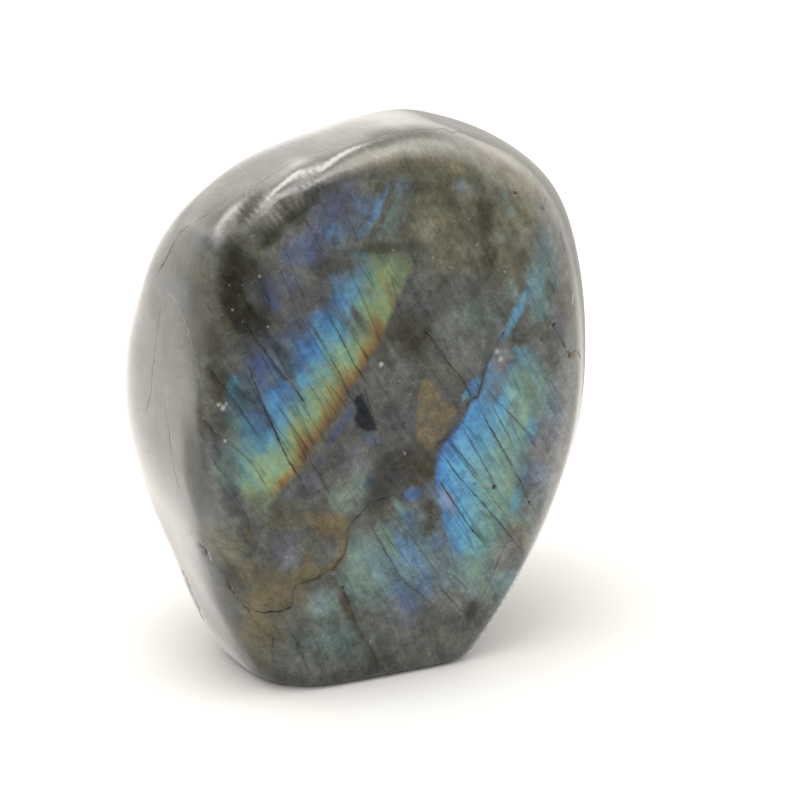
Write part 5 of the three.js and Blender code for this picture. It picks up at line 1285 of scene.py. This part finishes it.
shine = calc("MULTIPLY", ease(streak_fine, 0.22, 0.78, 0.94, 1.06), ease(block_fine[1], 0.0, 1.0, 0.94, 1.05))
shine = calc("MULTIPLY", shine, ease(mottle_fine, 0.25, 0.75, 0.86, 1.14))
shine = calc("MULTIPLY", shine, ease(cloud, 0.28, 0.72, 0.92, 1.08))
shine = calc("MULTIPLY", shine, flash_lift)
flash_colour = scaled(ramp.outputs["Color"], shine)
power_break = calc("MULTIPLY_ADD", block[1], 0.34, -0.17)
power_break = calc("ADD", power_break, calc("MULTIPLY_ADD", streak, 0.7, -0.35))
power_break = calc("ADD", power_break, calc("MULTIPLY_ADD", cloud, 0.7, -0.35))
power_break = calc("ADD", power_break, calc("MULTIPLY", cross, 2.0))
power_break = calc("ADD", power_break, calc("MULTIPLY_ADD", streak_fine, 0.14, -0.07))
power_break = calc("ADD", power_break, calc("MULTIPLY_ADD", mottle, 0.5, -0.25))
# breaks show most where the flash is weak
strong = calc("MULTIPLY", flash_power, calc("ADD", 1.0, calc("MULTIPLY", power_break, calc("SUBTRACT", 1.35, flash_power))), clamp=True)
base = blend(strong, base, flash_colour)

# hairline cleavage: broken dark lines along the planes
hair_a = cells(stretch(grain, 0.62, 0.045, 0.10), "DISTANCE_TO_EDGE")["Distance"]
hair_b = cells(stretch(grain, 1.7, 0.11, 0.3), "DISTANCE_TO_EDGE")["Distance"]
hair = calc("MULTIPLY", ease(hair_a, 0.015, 0.075, 1.0, 0.0), ease(noise(stretch(grain, 0.5, 0.08, 0.2), 1.0, 2.0), 0.42, 0.62))
hair2 = calc("MULTIPLY", ease(hair_b, 0.02, 0.10, 1.0, 0.0), ease(noise(stretch(grain, 0.8, 0.14, 0.3), 1.0, 2.0), 0.46, 0.66))
hair = calc("MAXIMUM", hair, calc("MULTIPLY", hair2, 0.18))
hair = calc("MULTIPLY", hair, calc("SUBTRACT", 1.0, calc("MULTIPLY", crossed, 0.75)))
hair_show = calc("MULTIPLY", hair, calc("MULTIPLY_ADD", strong, 0.26, 0.14))
base = scaled(base, calc("SUBTRACT", 1.0, hair_show))

# stains: ochre to brown, granular, with ragged edges
ragged = calc("ADD", calc("MULTIPLY_ADD", mottle_fine, 1.3, -0.65), calc("MULTIPLY_ADD", grit, 0.7, -0.35))
in_stain = ease(calc("ADD", stain_gap, ragged), -0.55, 0.35, 1.0, 0.0)
stain_noise = noise(where, 0.55, 4.0, 0.65, 0.4)
ochre = blend(ease(stain_noise, 0.36, 0.62), seen((124, 114, 88)), seen((104, 95, 74)))
ochre = blend(calc("MULTIPLY", ease(noise(where, 0.9, 3.0, 0.6, 0.5), 0.52, 0.68), 0.6), ochre, seen((134, 120, 88)))
ochre = blend(calc("MULTIPLY", ease(noise(where, 1.4, 3.0, 0.6), 0.57, 0.70), 0.6), ochre, seen((76, 66, 48)))
brown = blend(ease(stain_noise, 0.40, 0.60), seen((94, 82, 60)), seen((66, 60, 50)))
golden = blend(ease(stain_noise, 0.40, 0.60), seen((146, 122, 84)), seen((124, 106, 76)))
stain_colour = blend(calc("MAXIMUM", stain_tone, 0.0), ochre, brown)
stain_colour = blend(calc("MAXIMUM", calc("MULTIPLY", stain_tone, -1.0), 0.0), stain_colour, golden)
stain_colour = scaled(stain_colour, ease(grit, 0.25, 0.75, 0.80, 1.22))
base = blend(calc("MULTIPLY", in_stain, ease(cloud, 0.3, 0.7, 0.60, 0.92)), base, stain_colour)

# cracks, and the painted highlight along the crisp left edge
tremble = calc("ADD", calc("MULTIPLY_ADD", noise(where, 0.95, 3.0, 0.6), 0.60, -0.30), calc("MULTIPLY_ADD", grit, 0.16, -0.08))
fade = ease(noise(where, 0.5, 3.0, 0.65), 0.30, 0.52, 0.45, 1.0)
masks = {0: None, 1: None, 2: None}
halo = None
for grp in groups:
    gap_s, half_s, force_s = split(stored(grp["name"]))
    a = calc("ABSOLUTE", calc("ADD", gap_s, tremble))
    f = calc("MULTIPLY", force_s, fade)
    m = calc("MULTIPLY", f, ease(a, calc("MULTIPLY", half_s, 0.40), calc("MULTIPLY_ADD", half_s, 1.25, 0.04), 1.0, 0.0))
    hl = calc("MULTIPLY", f, ease(a, 0.0, calc("MULTIPLY_ADD", half_s, 3.5, 0.20), 1.0, 0.0))
    k = grp["kind"]
    masks[k] = m if masks[k] is None else calc("MAXIMUM", masks[k], m)
    if k != 2:
        halo = hl if halo is None else calc("MAXIMUM", halo, hl)
base = scaled(base, calc("SUBTRACT", 1.0, calc("MULTIPLY", halo, 0.24)))
# kind 2 paints a pale highlight along the crisp left edge into the colour
base = blend(calc("MULTIPLY", masks[2], 0.7), base, seen((196, 186, 176)))
base = blend(calc("MULTIPLY", masks[1], 0.85), base, seen((70, 58, 38)))
base = blend(calc("MULTIPLY", masks[0], 0.84), base, seen((26, 26, 26)))

# chips, pits and inclusions
pale_chip = ease(calc("ADD", chip_gap, calc("ADD", calc("MULTIPLY_ADD", grit, 1.1, -0.55), calc("MULTIPLY_ADD", mottle_fine, 0.8, -0.4))), -0.20, 0.20, 1.0, 0.0)
pit = ease(calc("ADD", pit_gap, calc("MULTIPLY_ADD", grit, 0.4, -0.2)), -0.15, 0.20, 1.0, 0.0)
base = blend(calc("MULTIPLY", pale_chip, 0.70), base, scaled(grey(ease(grit, 0.3, 0.7, 0.26, 0.62)), 1.0))
base = blend(calc("MULTIPLY", pit, 0.85), base, seen((48, 44, 36)))
dots = cells(stretch(where, 0.55, 0.55, 0.55))
dot_pick = split(dots["Color"])
dot_dark = calc("MULTIPLY", ease(dots["Distance"], 0.05, 0.13, 1.0, 0.0), ease(dot_pick[0], 0.72, 0.78))
dot_pale = calc("MULTIPLY", ease(dots["Distance"], 0.04, 0.12, 1.0, 0.0), ease(dot_pick[1], 0.80, 0.86))
base = scaled(base, calc("SUBTRACT", 1.0, calc("MULTIPLY", dot_dark, 0.45)))
base = blend(calc("MULTIPLY", dot_pale, 0.40), base, (0.36, 0.35, 0.32))

# polish
rough = calc("ADD", ease(mottle, 0.3, 0.7, 0.13, 0.18), ease(streak_fine, 0.3, 0.7, -0.01, 0.02))
rough = calc("ADD", rough, calc("MULTIPLY", in_stain, 0.12))
rough = calc("ADD", rough, calc("MULTIPLY", dull, 0.70))
rough = calc("ADD", rough, calc("MULTIPLY", calc("MAXIMUM", masks[0], masks[1]), 0.35))
rough = calc("ADD", rough, calc("MULTIPLY", calc("MAXIMUM", pale_chip, pit), 0.25), clamp=True)
height = calc("MULTIPLY", masks[0], -0.14)
height = calc("ADD", height, calc("MULTIPLY", masks[1], -0.05))
height = calc("ADD", height, calc("MULTIPLY", hair, -0.005))
height = calc("ADD", height, calc("MULTIPLY", calc("MULTIPLY", in_stain, grit), 0.03))
height = calc("ADD", height, calc("MULTIPLY", pit, -0.10))
height = calc("ADD", height, calc("MULTIPLY", calc("MULTIPLY", pale_chip, grit), -0.16))
height = calc("ADD", height, calc("MULTIPLY", mottle_fine, 0.020))
height = calc("ADD", height, calc("MULTIPLY", streak, 0.005))
height = calc("ADD", height, calc("MULTIPLY", grit, 0.0016))
bump = node("ShaderNodeBump")
bump.inputs["Strength"].default_value = 1.0
bump.inputs["Distance"].default_value = 0.001
put(bump.inputs["Height"], height)
shader = node("ShaderNodeBsdfPrincipled")
put(shader.inputs["Base Color"], base)
put(shader.inputs["Roughness"], rough)
put(shader.inputs["Normal"], bump.outputs[0])
shader.inputs["IOR"].default_value = 1.56
end = node("ShaderNodeOutputMaterial")
nt.links.new(shader.outputs[0], end.inputs["Surface"])

# ------------------------------------------------------------- floor and light
floor_mesh = bpy.data.meshes.new("floor")
R = 6.0
floor_mesh.from_pydata([(-R, -R, -0.00002), (R, -R, -0.00002), (R, R, -0.00002), (-R, R, -0.00002)], [], [(0, 1, 2, 3)])
floor = bpy.data.objects.new("floor", floor_mesh)
scene.collection.objects.link(floor)
fm = bpy.data.materials.new("floor_paper")
fm.use_nodes = True
fb = fm.node_tree.nodes["Principled BSDF"]
fb.inputs["Base Color"].default_value = (0.86, 0.855, 0.84, 1)
fb.inputs["Roughness"].default_value = 0.9
fb.inputs["Specular IOR Level"].default_value = 0.0
floor_mesh.materials.append(fm)
floor.visible_glossy = False

cam_data = bpy.data.cameras.new("camera")
cam = bpy.data.objects.new("camera", cam_data)
scene.collection.objects.link(cam)
cam_data.sensor_width = 36.0
cam_data.lens = 107.4965
cam_data.clip_start, cam_data.clip_end = 0.01, 20
a, e = math.radians(-26.2952), math.radians(16.1334)
back = Vector((math.sin(a) * math.cos(e), -math.cos(a) * math.cos(e), math.sin(e)))
cam.rotation_mode = "QUATERNION"
cam.rotation_quaternion = (-back).to_track_quat("-Z", "Y")
cam.location = Vector((-0.1787455, -0.3789445, 0.1662268))
scene.camera = cam
WORLD_DARK_DIR, WORLD_DARK_FROM, WORLD_DARK_TO = (0.43, -0.87, -0.24), 0.30, 0.90
WORLD_LIGHT, WORLD_DARK = 1.40, 0.20
MIRROR_COLOUR = (1.0, 0.942, 0.892, 1)
TENT = [(-1.0, 0.15), (-0.80, 0.35), (-0.66, 0.80), (-0.52, 2.9), (-0.3, 2.5), (-0.1, 2.1), (0.2, 2.3), (0.45, 3.5), (0.62, 2.6), (0.76, 1.7), (0.92, 1.4)]
OPENING_TOP, OPENING_SLOPE, OPENING_EDGE = 0.35, 1.2, (0.15, 0.55)
OPENING_RIGHT, OPENING_DARK = 0.45, 0.95
MIRROR_LOBES = [((0.25, -0.933, -0.259), 0.45, 0.80, 1.0, 0.05), ((0.74, 0.66, 0.13), 0.86, 0.98, 1.0, 0.74),
                ((0.66, 0.75, -0.02), 0.93, 0.975, 1.0, 0.46), ((0.60, 0.76, -0.27), 0.978, 0.992, 1.0, 0.74), ((0.40, 0.70, -0.60), 0.935, 0.975, 1.0, 0.12),
                ((0.10, 0.80, -0.60), 0.955, 0.995, 1.0, 0.40), ((-0.10, 0.90, 0.42), 0.945, 0.985, 1.0, 0.68)]
GLOWS = [((0.45, -0.20, 0.87), 0.885, 0.98, 2.6), ((-0.76, -0.16, 0.63), 0.87, 0.985, 3.0), ((0.14, -0.14, 0.98), 0.965, 0.993, 2.6),
         ((-0.36, -0.50, 0.79), 0.955, 0.99, 3.0), ((-0.03, 0.38, 0.92), 0.955, 0.985, 2.2)]
STRIPS = [((-0.471, 0.808, -0.355), 0.13, 0.06, (-0.42, 0.20, 0.885), 0.72, 0.80, 6.5)]
LIGHTS = [
    ("top_box", (-150, -100, 700), (0, 0, 60), (500, 300), 2.0, {}),
]

# --------------------------------------------------------------------- light
scene.view_settings.view_transform = "Standard"
scene.view_settings.look = "None"
scene.view_settings.exposure = 0.0
world = bpy.data.worlds.new("studio")
scene.world = world
world.use_nodes = True
wt = world.node_tree
wt.nodes.clear()


def wnode(kind, **kw):
    n = wt.nodes.new(kind)
    for k, v in kw.items():
        setattr(n, k, v)
    return n


def wmath(op, a, b):
    n = wnode("ShaderNodeMath", operation=op)
    for sock, v in zip(n.inputs, (a, b)):
        if isinstance(v, (int, float)):
            sock.default_value = v
        else:
            wt.links.new(v, sock)
    return n.outputs[0]


def wpick(fac, a, b):
    n = wnode("ShaderNodeMix", data_type="FLOAT")
    wt.links.new(fac, n.inputs["Factor"])
    for sock, v in ((n.inputs["A"], a), (n.inputs["B"], b)):
        if isinstance(v, (int, float)):
            sock.default_value = v
        else:
            wt.links.new(v, sock)
    return n.outputs["Result"]


def wlobe(direction, lo, hi, a, b):
    """Goes smoothly from a to b as the ray turns towards a direction."""
    d = wnode("ShaderNodeVectorMath", operation="DOT_PRODUCT")
    wt.links.new(tc.outputs["Generated"], d.inputs[0])
    d.inputs[1].default_value = Vector(direction).normalized()
    m = wnode("ShaderNodeMapRange", interpolation_type="SMOOTHSTEP")
    for name, v in (("From Min", lo), ("From Max", hi), ("To Min", a), ("To Max", b)):
        m.inputs[name].default_value = v
    wt.links.new(d.outputs["Value"], m.inputs["Value"])
    return m.outputs["Result"]


tc = wnode("ShaderNodeTexCoord")
# soft fill light of the white tent, with the darker room behind the camera
fill = wlobe(WORLD_DARK_DIR, WORLD_DARK_FROM, WORLD_DARK_TO, WORLD_LIGHT, WORLD_DARK)
# what the polish mirrors: white walls, brighter overhead, the shaded floor near the foot
sep = wnode("ShaderNodeSeparateXYZ")
wt.links.new(tc.outputs["Generated"], sep.inputs[0])
band = wnode("ShaderNodeValToRGB")
band.color_ramp.interpolation = "EASE"
while len(band.color_ramp.elements) > 1:
    band.color_ramp.elements.remove(band.color_ramp.elements[-1])
for i, (z, v) in enumerate(TENT):
    e = band.color_ramp.elements[0] if i == 0 else band.color_ramp.elements.new(z * 0.5 + 0.5)
    e.position = z * 0.5 + 0.5
    e.color = (v / 6, v / 6, v / 6, 1)
wt.links.new(wmath("MULTIPLY_ADD", sep.outputs["Z"], 0.5), band.inputs["Fac"])
band.inputs["Fac"].links[0].from_node.inputs[2].default_value = 0.5
mirror = wmath("MULTIPLY", band.outputs["Color"], 6.0)


def wease(value, lo, hi, a, b):
    m = wnode("ShaderNodeMapRange", interpolation_type="SMOOTHSTEP")
    for name, v in (("From Min", lo), ("From Max", hi), ("To Min", a), ("To Max", b)):
        m.inputs[name].default_value = v
    wt.links.new(value, m.inputs["Value"])
    return m.outputs["Result"]


# the open front of the tent is dark; it narrows upwards, and is paler to the right and low down
rise = wmath("MAXIMUM", wmath("SUBTRACT", sep.outputs["Z"], OPENING_TOP), 0.0)
reach = wmath("ADD", sep.outputs["Y"], wmath("MULTIPLY", rise, OPENING_SLOPE))
opening = wease(reach, *OPENING_EDGE, 1.0, 0.0)
opening = wmath("MULTIPLY", opening, wease(sep.outputs["X"], 0.45, 0.90, 1.0, OPENING_RIGHT))
opening = wmath("MULTIPLY", opening, wease(sep.outputs["Z"], -0.60, -0.30, 0.0, 1.0))
mirror = wmath("MULTIPLY", mirror, wmath("SUBTRACT", 1.0, wmath("MULTIPLY", opening, OPENING_DARK)))
for direction, lo, hi, a, b in MIRROR_LOBES:
    mirror = wmath("MULTIPLY", mirror, wlobe(direction, lo, hi, a, b))
for direction, lo, hi, power in GLOWS:      # soft lamps
    mirror = wmath("ADD", mirror, wlobe(direction, lo, hi, 0.0, power))
# long narrow lamps overhead: plane normal, half width and soft edge, middle, reach, radiance
for normal, half, soft, middle, lo, hi, power in STRIPS:
    d = wnode("ShaderNodeVectorMath", operation="DOT_PRODUCT")
    wt.links.new(tc.outputs["Generated"], d.inputs[0])
    d.inputs[1].default_value = Vector(normal).normalized()
    off = wmath("ABSOLUTE", d.outputs["Value"], 0.0)
    lamp = wmath("MULTIPLY", wease(off, half - soft, half + soft, 1.0, 0.0), wlobe(middle, lo, hi, 0.0, power))
    mirror = wmath("ADD", mirror, lamp)
path = wnode("ShaderNodeLightPath")
bg = wnode("ShaderNodeBackground")
tone = wnode("ShaderNodeMix", data_type="RGBA")
wt.links.new(path.outputs["Is Glossy Ray"], tone.inputs[0])
tone.inputs[6].default_value = (1.0, 0.972, 0.928, 1)
tone.inputs[7].default_value = MIRROR_COLOUR
wt.links.new(tone.outputs[2], bg.inputs["Color"])
wt.links.new(wpick(path.outputs["Is Camera Ray"], wpick(path.outputs["Is Glossy Ray"], fill, mirror), 1.15),
             bg.inputs["Strength"])
wo = wnode("ShaderNodeOutputWorld")
wt.links.new(bg.outputs["Background"], wo.inputs["Surface"])


def area_light(name, at, look, size, power, shape="RECTANGLE", color=(1, 1, 1), roll=0.0):
    """A soft box: at and look in mm, size in mm, power in watts."""
    d = bpy.data.lights.new(name, "AREA")
    d.shape = shape
    d.size, d.size_y = size[0] / 1000, size[1] / 1000
    d.energy = power
    d.color = color
    o = bpy.data.objects.new(name, d)
    scene.collection.objects.link(o)
    o.location = Vector(at) / 1000
    to = Vector(look) / 1000 - o.location
    o.rotation_mode = "QUATERNION"
    q = to.to_track_quat("-Z", "Y")
    if roll:
        q = q @ Matrix.Rotation(math.radians(roll), 3, "Z").to_quaternion()
    o.rotation_quaternion = q
    o.visible_camera = False
    return o


for row in LIGHTS:
    area_light(*row[:5], **row[5])
